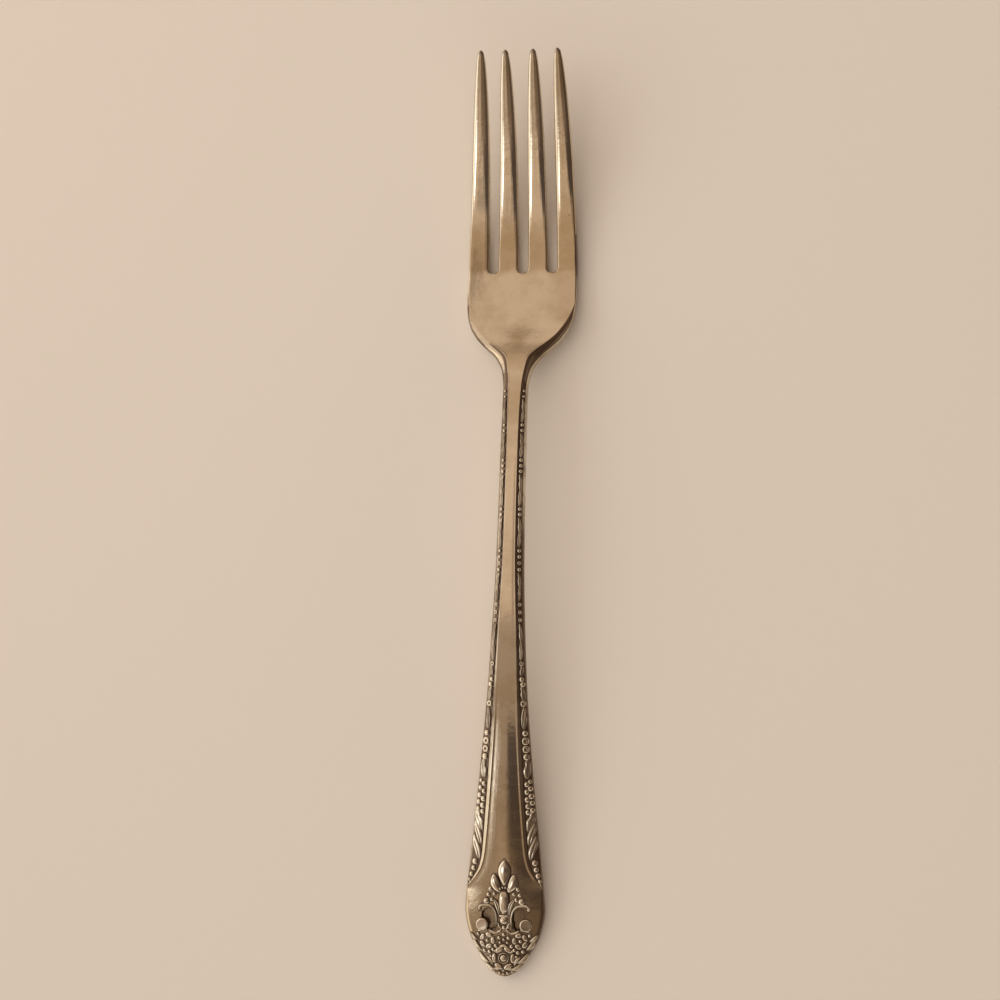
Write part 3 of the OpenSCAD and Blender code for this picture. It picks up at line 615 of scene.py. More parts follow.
def mound(bm, x, s, r, h, stretch=1.0, turn=0.0, flat=2.0, dimple=0.0, sides=14, steps=6):
    c, n = math.cos(turn), math.sin(turn)

    def shape(u, v):
        rho = math.sin(math.pi / 2 * v)
        dx = r * rho * math.cos(2 * math.pi * u)
        ds = r * rho * math.sin(2 * math.pi * u) * stretch
        rise = h * (1 - rho ** flat) ** (1 / flat) - dimple * h * math.exp(-(rho / 0.42) ** 2)
        return x + dx * c - ds * n, s + dx * n + ds * c, rise - sunk
    top = (1 - 0.35 * dimple) * h - sunk
    low, high = oxideLevels["mound"]
    layGrid(bm, sides, steps, shape, low * top, high * top)
    if s < terminalReach:
        reach = r * (stretch - 1) if stretch > 1 else 0
        for t in (-0.8, 0, 0.8) if reach else (0,):
            reliefSpots.append((x - t * reach * n, s + t * reach * c, r))


def ring(bm, x, s, r, thick, h, sides=28, steps=10):
    def shape(u, v):
        lean = 2 * math.pi * v
        out = r + thick * math.cos(lean)
        return (x + out * math.cos(2 * math.pi * u), s + out * math.sin(2 * math.pi * u),
                h * math.sin(lean) if lean < math.pi else 0.1 * math.sin(lean))
    low, high = oxideLevels["ring"]
    layGrid(bm, sides, steps, shape, low * h, high * h)
    reliefSpots.append((x, s, r + thick))


def leafOn(bm, base, tip, w, h, bend=0.0, full=1.0, blunt=0.8, ridge=0.12, vein=0.0, columns=12, rowsCount=20):
    dx, ds = tip[0] - base[0], tip[1] - base[1]
    length = math.hypot(dx, ds)
    nx, ns = ds / length, -dx / length

    def centre(v):
        side = bend * length * math.sin(math.pi * v)
        return base[0] + dx * v + nx * side, base[1] + ds * v + ns * side

    def halfAt(v):
        return w * (0.04 + 0.96 * max(math.sin(math.pi * v ** full), 0) ** blunt)

    def shape(u, v):
        c = 2 * u - 1
        x, s = centre(v)
        half = halfAt(v)
        along = max(4 * v * (1 - v), 0) ** 0.3
        rise = h * (1 - abs(c) ** 2.6) ** 0.6 * along
        rise += ridge * h * (1 - abs(c)) * along - vein * h * math.exp(-(c / 0.13) ** 2) * along
        return x + nx * c * half, s + ns * c * half, rise - sunk
    low, high = oxideLevels["leaf"]
    layGrid(bm, columns, rowsCount, shape, low * h, high * h)
    if max(base[1], tip[1]) < terminalReach:
        for k in range(7):
            v = 0.08 + 0.14 * k
            reliefSpots.append((*centre(v), halfAt(v)))


def wireOn(bm, path, radius, columns=10, rowsCount=30):
    line = [smoothCurve(*[(k, p[q]) for k, p in enumerate(path)]) for q in (0, 1)]
    last = len(path) - 1

    def shape(u, v):
        t = v * last
        dx = line[0](t + 0.02) - line[0](t - 0.02)
        ds = line[1](t + 0.02) - line[1](t - 0.02)
        length = math.hypot(dx, ds) or 1
        r = radius * (1.1 - 0.35 * v) * min(1, 0.5 + 6 * v, 0.4 + 5 * (1 - v))
        out = r * math.cos(math.pi * u)
        rise = 1.5 * r * math.sin(math.pi * u) - thinSunk
        return line[0](t) + ds / length * out, line[1](t) - dx / length * out, rise
    low, high = oxideLevels["wire"]
    layGrid(bm, columns, rowsCount, shape, low * radius, high * radius)
    for k in range(11):
        reliefSpots.append((line[0](last * k / 10), line[1](last * k / 10), radius))


def finishPiece(bm, name, nodes, material, sharp=180):   # edges over that many degrees stay crisp
    bmesh.ops.remove_doubles(bm, verts=bm.verts, dist=0.002)
    bmesh.ops.holes_fill(bm, edges=[e for e in bm.edges if e.is_boundary], sides=0)
    bmesh.ops.recalc_face_normals(bm, faces=bm.faces)
    bmesh.ops.scale(bm, vec=(mm,) * 3, verts=bm.verts)
    bmesh.ops.translate(bm, vec=(0, -forkLength / 2 * mm, 0), verts=bm.verts)
    for f in bm.faces:
        f.smooth = True
    for e in bm.edges:
        if len(e.link_faces) == 2 and e.calc_face_angle() > math.radians(sharp):
            e.smooth = False
    mesh = bpy.data.meshes.new(name)
    bm.to_mesh(mesh)
    piece = bpy.data.objects.new(name, mesh)
    bpy.context.collection.objects.link(piece)
    mesh.materials.append(material)
    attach(piece, "root")
    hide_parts(*nodes)
    print(name, len(mesh.polygons), "faces", "open" if any(e.is_boundary for e in bm.edges) else "closed")
    bm.free()
    return piece


# Node helpers: each adds one node and returns its output
def newNode(tree, kind, inputs=(), **settings):
    node = tree.nodes.new(kind)
    for key, value in settings.items():
        setattr(node, key, value)
    for socket, value in inputs:
        if isinstance(value, bpy.types.NodeSocket):
            tree.links.new(value, node.inputs[socket])
        else:
            node.inputs[socket].default_value = value
    return node


def math2(tree, operation, a, b, clamp=False):
    node = newNode(tree, "ShaderNodeMath", [(0, a), (1, b)], operation=operation, use_clamp=clamp)
    return node.outputs["Value"]


def ramp(tree, value, start, end):
    inputs = [("Value", value), ("From Min", start), ("From Max", end)]
    return newNode(tree, "ShaderNodeMapRange", inputs, interpolation_type="SMOOTHSTEP").outputs["Result"]


def colorMix(tree, factor, a, b):   # sockets 6 and 7 are the colours of a mix node
    inputs = [("Factor", factor), (6, a), (7, b)]
    return newNode(tree, "ShaderNodeMix", inputs, data_type="RGBA").outputs[2]


wearLook = {
    "cloudScale": 170,
    "cloudEdges": (0.4, 0.68),
    # stretch, turn and width of the hair scratches
    "scratches": (((1000, 40, 60), 0.5, 0.006), ((60, 800, 60), -0.3, 0.005), ((700, 60, 90), 1.1, 0.005)),
    "scratchDepth": 0.14,
    "speckScale": 300,
    "speckEdges": (0.13, 0.04),
    "speckFrom": 0.9,   # a speck shows where a random number is above this
    "speckDark": 0.7,
    "grainScale": 1500,
    "grainDepth": 0.5,
    "oxideRough": 0.25,
    "dullRough": 0.03,
}


def wearGroup():   # clouded tarnish, hair scratches, specks and grain from a position
    tree = bpy.data.node_groups.new("silverWear", "ShaderNodeTree")
    tree.interface.new_socket(name="Vector", in_out="INPUT", socket_type="NodeSocketVector")
    for name in ("Cloud", "Scratch", "Speck", "Grain"):
        tree.interface.new_socket(name=name, in_out="OUTPUT", socket_type="NodeSocketFloat")
    place = tree.nodes.new("NodeGroupInput").outputs["Vector"]
    result = tree.nodes.new("NodeGroupOutput")

    cloud = newNode(tree, "ShaderNodeTexNoise", [("Vector", place), ("Scale", wearLook["cloudScale"]), ("Detail", 5),
                                                 ("Roughness", 0.65)])
    tree.links.new(ramp(tree, cloud.outputs["Fac"], *wearLook["cloudEdges"]), result.inputs["Cloud"])

    scratches = None
    for scale, turn, width in wearLook["scratches"]:
        turned = newNode(tree, "ShaderNodeMapping", [("Vector", place), ("Rotation", (0, 0, turn)), ("Scale", scale)])
        inputs = [("Vector", turned.outputs["Vector"]), ("Scale", 1), ("Detail", 0)]
        lines = newNode(tree, "ShaderNodeTexNoise", inputs)
        away = math2(tree, "ABSOLUTE", math2(tree, "SUBTRACT", lines.outputs["Fac"], 0.5), 0)
        thin = ramp(tree, away, width, 0.0)
        scratches = thin if scratches is None else math2(tree, "MAXIMUM", scratches, thin)
    tree.links.new(scratches, result.inputs["Scratch"])

    spots = newNode(tree, "ShaderNodeTexVoronoi", [("Vector", place), ("Scale", wearLook["speckScale"])])
    chance = newNode(tree, "ShaderNodeSeparateColor", [("Color", spots.outputs["Color"])])
    rare = math2(tree, "GREATER_THAN", chance.outputs["Red"], wearLook["speckFrom"])
    specks = math2(tree, "MULTIPLY", ramp(tree, spots.outputs["Distance"], *wearLook["speckEdges"]), rare)
    tree.links.new(specks, result.inputs["Speck"])

    grain = newNode(tree, "ShaderNodeTexNoise", [("Vector", place), ("Scale", wearLook["grainScale"]), ("Detail", 3)])
    tree.links.new(grain.outputs["Fac"], result.inputs["Grain"])
    return tree


silverWear = wearGroup()


def silverFinish(name, look):
    material = bpy.data.materials.new(name)
    material.use_nodes = True
    tree = material.node_tree
    shader = tree.nodes["Principled BSDF"]
    coords = newNode(tree, "ShaderNodeTexCoord")
    wear = newNode(tree, "ShaderNodeGroup", node_tree=silverWear)
    tree.links.new(coords.outputs["Object"], wear.inputs["Vector"])
    # oxide in the hollows together with the painted shade on edges, shoulder and pocket
    oxideAndShade = newNode(tree, "ShaderNodeAttribute", attribute_name="oxideAndShade").outputs["Fac"]
    # tarnish, with the painted shade on the right of the palm
    stainAndShade = newNode(tree, "ShaderNodeAttribute", attribute_name="tarnish").outputs["Fac"]

    uneven = math2(tree, "MULTIPLY", math2(tree, "SUBTRACT", wear.outputs["Cloud"], 0.5), look["oxideBreak"])
    # the oxide mask, which also lays on the painted shade
    oxide = ramp(tree, math2(tree, "ADD", oxideAndShade, uneven), look["oxideFrom"], look["oxideTo"])
    cloud = math2(tree, "MULTIPLY", wear.outputs["Cloud"], look["cloud"])
    dullAndShade = math2(tree, "ADD", cloud, math2(tree, "MULTIPLY", stainAndShade, look["stainAndShade"]), clamp=True)
    color = colorMix(tree, dullAndShade, look["bright"], look["tarnish"])
    color = colorMix(tree, oxide, color, look["oxide"])
    specks = math2(tree, "MULTIPLY", wear.outputs["Speck"], wearLook["speckDark"])
    tree.links.new(colorMix(tree, specks, color, look["oxide"]), shader.inputs["Base Color"])
    shader.inputs["Metallic"].default_value = 1
    rough = math2(tree, "ADD", math2(tree, "MULTIPLY", oxide, wearLook["oxideRough"]), look["roughness"])
    rough = math2(tree, "ADD", rough, math2(tree, "MULTIPLY", dullAndShade, wearLook["dullRough"]))
    tree.links.new(rough, shader.inputs["Roughness"])
    grain = math2(tree, "MULTIPLY", wear.outputs["Grain"], wearLook["grainDepth"])
    height = math2(tree, "ADD", grain, wear.outputs["Cloud"])
    scratch = math2(tree, "MULTIPLY", wear.outputs["Scratch"], wearLook["scratchDepth"])
    height = math2(tree, "SUBTRACT", height, scratch)
    bump = newNode(tree, "ShaderNodeBump", [("Height", height), ("Distance", look["bump"] * mm)])
    tree.links.new(bump.outputs["Normal"], shader.inputs["Normal"])
    return material


bodySilver = silverFinish("wornSilver", {
    "bright": (0.72, 0.64, 0.52, 1),
    "tarnish": (0.47, 0.37, 0.245, 1),
    "oxide": (0.17, 0.12, 0.085, 1),
    "cloud": 0.32,
    "stainAndShade": 0.85,
    "roughness": 0.08,
    "bump": 0.006,
    "oxideBreak": 0.25,
    "oxideFrom": 0.3,
    "oxideTo": 0.85,
})
reliefSilver = silverFinish("reliefSilver", {
    "bright": (0.72, 0.635, 0.51, 1),
    "tarnish": (0.44, 0.35, 0.24, 1),
    "oxide": (0.15, 0.108, 0.076, 1),
    "cloud": 0.4,
    "stainAndShade": 0.0,
    "roughness": 0.15,
    "bump": 0.008,
    "oxideBreak": 0.15,
    "oxideFrom": 0.25,
    "oxideTo": 0.9,
})
bothSides = ((-1, "left", "Left"), (1, "right", "Right"))


def mirrored(place, side):   # a place given for the right side, on either side
    return side * place[0], place[1]


def finishRelief(bm, name, node):
    return finishPiece(bm, name, [node], reliefSilver)


# Border work: beads and leaves by their share of the length from the terminal to the neck
borders = {
    "start": 18.5,
    "joint": 60.0,
    "end": 120.0,
    "shankShare": 0.68,   # the worked share of the border's width on the shank
    "inset": (0.05, 0.03),   # of the work from the groove and from the outline
    "beadRadius": 0.56,
    "beadHeight": 0.36,
    "beadStretch": 1.1,
    "beadFlat": 2.2,
    "beadDimple": 0.75,
    "leafHeight": 0.28,
    "leafOxide": (0.06, 0.23),
    # share of the painted edge shade laid on the border leaves
    "leafPaintedShade": 0.92,
    "veinDepth": 0.13,
    "broadEnd": 33.5,   # the leaves are broad up to here and slender beyond
}
broadLeaf = {"fullness": 0.75, "half": 0.34, "notch": 0.0, "grid": (12, 26)}
slenderLeaf = {"fullness": 0.9, "half": 0.5, "notch": 0.45, "grid": (10, 20)}
# place, place across the border, size, and 1 for a bead with a dimple
borderBeads = [
    (0.006, 0.45, 0.7, 0), (0.017, 0.5, 0.95, 0), (0.029, 0.5, 1, 0), (0.042, 0.5, 1.15, 0), (0.141, 0.25, 1, 0),
    (0.146, 0.72, 1, 0), (0.153, 0.3, 1.1, 0), (0.16, 0.74, 1, 0), (0.166, 0.28, 1.1, 0), (0.173, 0.72, 1.1, 0),
    (0.181, 0.28, 1, 0), (0.188, 0.7, 1, 0), (0.196, 0.34, 1, 0), (0.202, 0.72, 0.8, 0), (0.25, 0.5, 1.25, 0),
    (0.265, 0.5, 1.3, 1), (0.281, 0.5, 1.35, 1), (0.2965, 0.5, 1.1, 0), (0.355, 0.5, 1.25, 1), (0.393, 0.6, 1, 0),
    (0.403, 0.4, 1, 0), (0.434, 0.5, 1.25, 1), (0.521, 0.5, 1.25, 1), (0.5365, 0.5, 1.3, 1), (0.552, 0.5, 1.25, 1),
    (0.622, 0.5, 1.2, 0), (0.635, 0.5, 1.2, 1), (0.648, 0.5, 1.2, 0), (0.66, 0.5, 1, 0), (0.7335, 0.5, 1.1, 0),
    (0.7445, 0.5, 1.1, 0), (0.8215, 0.5, 1, 0), (0.833, 0.5, 1.1, 0), (0.8445, 0.5, 1, 0), (0.9055, 0.5, 1.1, 0),
    (0.917, 0.5, 1, 0), (0.9765, 0.5, 1.1, 0), (0.988, 0.5, 1, 0)]
# from, to, lean across the border, side of the notch in its edge
borderLeaves = [
    (0.045, 0.098, 0.34, 1), (0.075, 0.126, 0.34, 1), (0.102, 0.15, 0.32, 1), (0.206, 0.248, 0.1, 1),
    (0.303, 0.351, 0.12, -1), (0.36, 0.391, -0.1, 1), (0.4096, 0.432, 0.1, 1), (0.438, 0.482, 0.12, -1),
    (0.474, 0.516, -0.12, 1), (0.557, 0.592, 0.12, -1), (0.585, 0.618, -0.12, 1), (0.664, 0.702, 0.12, -1),
    (0.694, 0.7295, -0.12, 1), (0.748, 0.788, 0.12, -1), (0.78, 0.818, -0.12, 1), (0.848, 0.88, 0.12, -1),
    (0.872, 0.902, -0.12, 1), (0.92, 0.952, 0.12, -1), (0.943, 0.9735, -0.12, 1)]


def borderPlace(share):
    return mix(borders["start"], borders["end"], share)


def workWidth(s):   # the worked share of the border: all of it near the terminal, its inner part on the shank
    return mix(1.0, borders["shankShare"], ease(s, *bodyShape["borderNarrows"]))


def acrossBorder(s, q, side):
    inner, outer = borders["inset"]
    return side * (borderStart(s) - inner + workWidth(s) * q * (halfWidth(s) - borderStart(s) - outer))


def buildBorderBeads(start, end, side, name, node):
    bm = bmesh.new()
    for share, q, size, dimpled in borderBeads:
        s = borderPlace(share)
        if start < s < end:
            space = workWidth(s) * (halfWidth(s) - borderStart(s))
            r = min(borders["beadRadius"] * size, space * 0.5)
            mound(bm, acrossBorder(s, q, side), s, r, borders["beadHeight"] * min(size, 1), borders["beadStretch"],
                  flat=borders["beadFlat"], dimple=borders["beadDimple"] * dimpled)
    return finishRelief(bm, name, node)


def borderLeaf(bm, a, b, lean, notch, side):
    kind = broadLeaf if b < borders["broadEnd"] else slenderLeaf

    def shape(u, v):
        c = 2 * u - 1
        s = mix(a, b, v)
        swell = max(math.sin(math.pi * v ** kind["fullness"]), 0) ** 0.62
        half = 0.03 + kind["half"] * swell
        cut = 1 - kind["notch"] * math.exp(-((v - 0.62) / 0.12) ** 2)
        q = 0.5 - lean * math.cos(math.pi * v) + c * half * (cut if c * notch < 0 else 1)
        along = max(4 * v * (1 - v), 0) ** 0.3
        rise = borders["leafHeight"] * (1 - abs(c) ** 2.6) ** 0.6 * along
        vein = borders["veinDepth"] * math.exp(-((c - 0.15 * notch) / 0.13) ** 2)
        rise -= vein * along * ease(v, 0, 0.2) * (1 - ease(v, 0.6, 0.95))
        return acrossBorder(s, min(max(q, 0.0), 1.0), side), s, rise - thinSunk
    layGrid(bm, *kind["grid"], shape, *borders["leafOxide"], borders["leafPaintedShade"])


def buildBorderLeaves(start, end, side, name, node):
    bm = bmesh.new()
    for first, last, lean, notch in borderLeaves:
        a, b = borderPlace(first), borderPlace(last)
        if start < a and b < end:
            borderLeaf(bm, a, b, lean, notch, side)
    return finishRelief(bm, name, node)


for side, word, title in bothSides:
    start, joint, end = borders["start"], borders["joint"], borders["end"]
    buildBorderBeads(start, joint, side, "bladeBeads" + title, "blade_beads_" + word)
    buildBorderBeads(joint, end, side, "shankBeads" + title, "shank_beads_" + word)
    buildBorderLeaves(start, joint, side, "bladeLeaves" + title, "blade_leaves_" + word)
    buildBorderLeaves(joint, end, side, "shankLeaves" + title, "shank_leaves_" + word)
print("borders done")

# Work on the terminal, each piece with its values beside it: places are (across, along) for the right side
centreLeaf = {
    "base": (0, 17.9),
    "tip": (0, 23.3),
    "half": 1.5,
    "height": 0.45,
    "fullness": 1.2,
    "blunt": 0.78,
    "ridge": 0.35,
    "rows": 26,
}
bm = bmesh.new()
leafOn(bm, centreLeaf["base"], centreLeaf["tip"], centreLeaf["half"], centreLeaf["height"],
       full=centreLeaf["fullness"], blunt=centreLeaf["blunt"], ridge=centreLeaf["ridge"],
       rowsCount=centreLeaf["rows"])
finishRelief(bm, "leafCentre", "leaf_centre")

sideLeaf = {
    "base": (0.75, 16.6),
    "tip": (2.15, 20.5),
    "half": 1.12,
    "height": 0.45,
    "bend": 0.09,
    "fullness": 1.1,
    "blunt": 0.6,
    "ridge": 0.2,
}
for side, word, title in bothSides:
    bm = bmesh.new()
    leafOn(bm, mirrored(sideLeaf["base"], side), mirrored(sideLeaf["tip"], side), sideLeaf["half"],
           sideLeaf["height"], sideLeaf["bend"] * side, sideLeaf["fullness"], sideLeaf["blunt"], sideLeaf["ridge"])
    finishRelief(bm, "leaf" + title, "leaf_" + word)

bud = {
    "middle": 14.85,
    "halfLength": 2.5,
    "halves": (1.15, 1.3),   # half its width at the foot and at the top
    "height": 0.7,
    "sunk": 0.07,
    "grooves": (0.72, 0.1, 0.1),   # place, width and depth of the two along it
    "oxide": (0.3, 0.6),
    "grid": (20, 28),
    "spots": (13.1, 0.87, 5, 1.0),   # first place, step, count and radius of the oxide kept around it
    "knob": (12.75, 0.55, 0.75, 0.6),   # place, radius, height and stretch
    "leaf": ((1.0, 11.9), (2.25, 15.6), 0.62, 0.45),   # base, tip, half width and height of the leaf on each side
    "leafBend": -0.1,
    "leafFullness": 1.15,
    "leafVein": 0.7,
}


def budShape(u, v):
    c = 2 * u - 1
    t = 2 * v - 1
    body = max(1 - abs(t) ** 3.2, 0) ** 0.5
    half = (0.05 + 0.95 * body) * mix(*bud["halves"], ease(v, 0.1, 0.9))
    place, width, depth = bud["grooves"]
    rise = bud["height"] * body * max(1 - abs(c) ** 3, 0) ** 0.5
    rise -= depth * math.exp(-((abs(c) - place) / width) ** 2) * body
    return c * half, bud["middle"] + bud["halfLength"] * t, rise - bud["sunk"]


bm = bmesh.new()
layGrid(bm, *bud["grid"], budShape, *bud["oxide"])
first, step, count, radius = bud["spots"]
for k in range(count):
    reliefSpots.append((0, first + step * k, radius))
mound(bm, 0, *bud["knob"])
for side in (-1, 1):
    base, tip, half, height = bud["leaf"]
    leafOn(bm, mirrored(base, side), mirrored(tip, side), half, height, bend=bud["leafBend"] * side,
           full=bud["leafFullness"], vein=bud["leafVein"])
finishRelief(bm, "bud", "bud")

beadArc = {
    "middle": 16.2,
    "radii": (1.42, 1.55),   # across and along the fork
    "degrees": 118,
    "count": 6,
    "beadRadius": 0.3,
    "beadHeight": 0.5,
    "beadStretch": 1.2,
}
bm = bmesh.new()
for k in range(beadArc["count"]):
    around = math.radians(beadArc["degrees"] * (k / (beadArc["count"] - 1) - 0.5))
    wide, long = beadArc["radii"]
    mound(bm, wide * math.sin(around), beadArc["middle"] + long * math.cos(around), beadArc["beadRadius"],
          beadArc["beadHeight"], beadArc["beadStretch"], -around)
finishRelief(bm, "beadArc", "bead_arc")

berries = {
    "highest": 0.42,
    "rise": 0.9,   # height as a share of the radius
    "turn": 0.5,
    "flat": 2.4,
    # across, along, radius and stretch
    "places": [(2.8, 17.4, 0.46, 1.15), (3.2, 16.25, 0.46, 1.0), (2.0, 16.4, 0.42, 1.0), (3.6, 14.95, 0.72, 1.0),
               (2.5, 15.3, 0.42, 1.2)],
}
for side, word, title in bothSides:
    bm = bmesh.new()
    for x, s, r, stretch in berries["places"]:
        height = min(berries["rise"] * r, berries["highest"])
        mound(bm, side * x, s, r, height, stretch, berries["turn"] * side, berries["flat"])
    finishRelief(bm, "berries" + title, "berries_" + word)

scroll = {
    "wireRadius": 0.3,
    "path": [(5.0, 13.1), (5.05, 13.75), (4.4, 14.15), (3.6, 14.15), (2.75, 14.0), (2.05, 13.4), (1.65, 12.5),
             (1.5, 11.4), (1.55, 10.4), (1.75, 9.5)],
    "eye": (5.0, 13.35),
    "eyeRadius": 0.36,
    "eyeHeight": 0.5,
}
for side, word, title in bothSides:
    bm = bmesh.new()
    wireOn(bm, [mirrored(place, side) for place in scroll["path"]], scroll["wireRadius"])
    mound(bm, *mirrored(scroll["eye"], side), scroll["eyeRadius"], scroll["eyeHeight"])
    finishRelief(bm, "scroll" + title, "scroll_" + word)

boss = {
    "place": (4.45, 10.3),
    "radius": 1.26,
    "height": 0.6,
    "crown": 0.02,
    "rimDrop": 0.25,
    "floor": -0.95,   # where its wall ends, under the floor of the pocket
    "topShare": 0.8,   # of the radius
    "gridShares": (0.6, 0.25, 0.15),   # of the grid for the top, the rounded rim and the wall
    "grid": (40, 20),
    "oxide": (0.4, 0.56),
    "spotRadius": 1.2,
}


def bossShape(side):   # a flat top with a rounded rim and a wall down to the floor of the pocket
    def shape(u, v):
        x, s = boss["place"]
        r, inner = boss["radius"], boss["topShare"]
        top, rim, wall = boss["gridShares"]
        lean = min(max((v - top) / rim, 0), 1) * math.pi / 2
        out = v / top * inner * r if v < top else r * (inner + (1 - inner) * math.sin(lean))
        rise = boss["height"] - boss["crown"] * (1 - min(v / top, 1) ** 2) - boss["rimDrop"] * (1 - math.cos(lean))
        rise = mix(rise, boss["floor"], max((v - top - rim) / wall, 0))
        return side * x + out * math.cos(2 * math.pi * u), s + out * math.sin(2 * math.pi * u), rise
    return shape


for side, word, title in bothSides:
    bm = bmesh.new()
    layGrid(bm, *boss["grid"], bossShape(side), *boss["oxide"])
    reliefSpots.append((*mirrored(boss["place"], side), boss["spotRadius"]))
    finishRelief(bm, "boss" + title, "boss_" + word)

stemKnot = {
    # along, radius, height, stretch, flatness, sides and steps of its three knots
    "knots": [(12.05, 1.15, 0.45, 0.3, 2.6, 20, 6), (11.15, 0.85, 0.5, 0.95, 2.8, 20, 8),
              (9.75, 0.5, 0.55, 1.1, 2.0, 14, 6)],
    "leaves": [((0.3, 9.3), (1.25, 10.9), 0.08), ((0.35, 9.6), (1.6, 8.7), 0.1)],   # base, tip and bend
    "leafHalf": 0.32,
    "leafHeight": 0.42,
}
bm = bmesh.new()
for s, r, h, stretch, flat, sides, steps in stemKnot["knots"]:
    mound(bm, 0, s, r, h, stretch, flat=flat, sides=sides, steps=steps)
for side in (-1, 1):
    for base, tip, bend in stemKnot["leaves"]:
        leafOn(bm, mirrored(base, side), mirrored(tip, side), stemKnot["leafHalf"], stemKnot["leafHeight"],
               bend=bend * side)
finishRelief(bm, "stemKnot", "stem_knot")

petalLook = {
    "lap": 1.08,
    "spread": 1.16,
    "rise": 0.75,   # height as a share of the flower's
    "flat": 2.4,
    "dimple": 0.2,
}


def flowerOn(bm, x, s, flower, turn):   # petals from the eye's rim outward
    length = (flower["radius"] - flower["eye"]) / 2 * petalLook["lap"]
    out = flower["radius"] - length
    for k in range(flower["petals"]):
        around = turn + 2 * math.pi * k / flower["petals"]
        width = out * math.sin(math.pi / flower["petals"]) * petalLook["spread"]
        mound(bm, x - out * math.sin(around), s + out * math.cos(around), width, flower["height"] * petalLook["rise"],
              length / width, around, petalLook["flat"], petalLook["dimple"])


rose = {
    "place": 3.65,
    "radius": 2.45,
    "petals": 6,
    "height": 0.55,
    "eye": 1.42,
    "turn": math.pi / 6,
    "ring": (0.98, 0.14, 0.3),   # radius, thickness and height
    "heart": (0.78, 0.7),   # radius and height
    "heartFlat": 2.4,
    "heartDimple": 0.1,
    "heartGrid": (18, 8),
    "leaf": ((-0.95, 5.95), (0.95, 5.95), 0.4, 0.5),
    "leafBend": -0.12,
    "leafBlunt": 0.6,
}
bm = bmesh.new()
flowerOn(bm, 0, rose["place"], rose, rose["turn"])
ring(bm, 0, rose["place"], *rose["ring"])
mound(bm, 0, rose["place"], *rose["heart"], 1, 0, rose["heartFlat"], rose["heartDimple"], *rose["heartGrid"])
leafOn(bm, *rose["leaf"], bend=rose["leafBend"], blunt=rose["leafBlunt"])
finishRelief(bm, "rose", "rose")

blossom = {
    "place": (3.38, 7.1),
    "radius": 1.72,
    "petals": 5,
    "height": 0.5,
    "eye": 0.72,
    "turn": 0.3,
    "heart": (0.45, 0.5),
    "seedHeight": 0.42,
    # across, along, radius, stretch and turn of the small round forms; those on the middle line are made once
    "seeds": [(0.0, 8.35, 0.46, 1, 0), (0.95, 7.7, 0.46, 1, 0), (0.0, 7.35, 0.38, 1, 0), (0.75, 6.75, 0.36, 1, 0),
              (1.6, 6.05, 0.46, 1.2, 0.6), (2.15, 5.3, 0.42, 1.2, 0.9), (1.75, 5.0, 0.3, 1, 0),
              (2.9, 4.85, 0.46, 1.1, 0.5), (3.9, 5.05, 0.42, 1.2, 0.9), (5.25, 8.3, 0.38, 1.3, 0.6),
              (2.6, 4.0, 0.36, 1, 0)],
}
for side, word, title in bothSides:
    bm = bmesh.new()
    flowerOn(bm, *mirrored(blossom["place"], side), blossom, blossom["turn"] * side)
    mound(bm, *mirrored(blossom["place"], side), *blossom["heart"])
    for x, s, r, stretch, turn in blossom["seeds"]:
        if x or side > 0:
            mound(bm, side * x, s, r, blossom["seedHeight"], stretch, -side * turn)
    finishRelief(bm, "blossom" + title, "blossom_" + word)

spray = {
    "height": 0.4,
    "vein": 0.35,
    # base, tip, half width and bend
    "leaves": [((2.6, 2.6), (5.0, 5.0), 0.5, 0.12), ((1.3, 1.25), (3.7, 2.9), 0.46, 0.12),
               ((4.5, 5.3), (6.3, 7.6), 0.5, 0.1), ((2.1, 2.1), (3.6, 4.1), 0.42, -0.1),
               ((1.0, 8.6), (3.3, 9.35), 0.36, 0.1), ((3.1, 9.25), (5.6, 8.75), 0.36, -0.1),
               ((5.15, 7.0), (6.8, 8.6), 0.42, 0.08), ((0.4, 1.75), (2.0, 1.6), 0.42, 0.06)],
}
for side, word, title in bothSides:
    bm = bmesh.new()
    for base, tip, half, bend in spray["leaves"]:
        leafOn(bm, mirrored(base, side), mirrored(tip, side), half, spray["height"], bend=bend * side,
               vein=spray["vein"])
    finishRelief(bm, "spray" + title, "spray_" + word)

tipBeads = {
    "height": 0.4,
    # across, along and radius
    "places": [(0, 0.55, 0.3), (0.82, 0.72, 0.36), (-0.82, 0.72, 0.36), (0, 1.2, 0.3), (1.75, 1.0, 0.26),
               (-1.75, 1.0, 0.26)],
}
bm = bmesh.new()
for x, s, r in tipBeads["places"]:
    mound(bm, x, s, r, tipBeads["height"])
finishRelief(bm, "tipBeads", "tip_beads")
print("terminal done")

bm = buildBody()
markWear(bm)
struckNodes = ["tine_outer_left", "tine_inner_left", "tine_inner_right", "tine_outer_right", "palm", "neck", "shank",
               "blade", "terminal", "shank_panel", "blade_panel"]
finishPiece(bm, "forkBody", struckNodes, bodySilver, sharp=42)
print("body done")

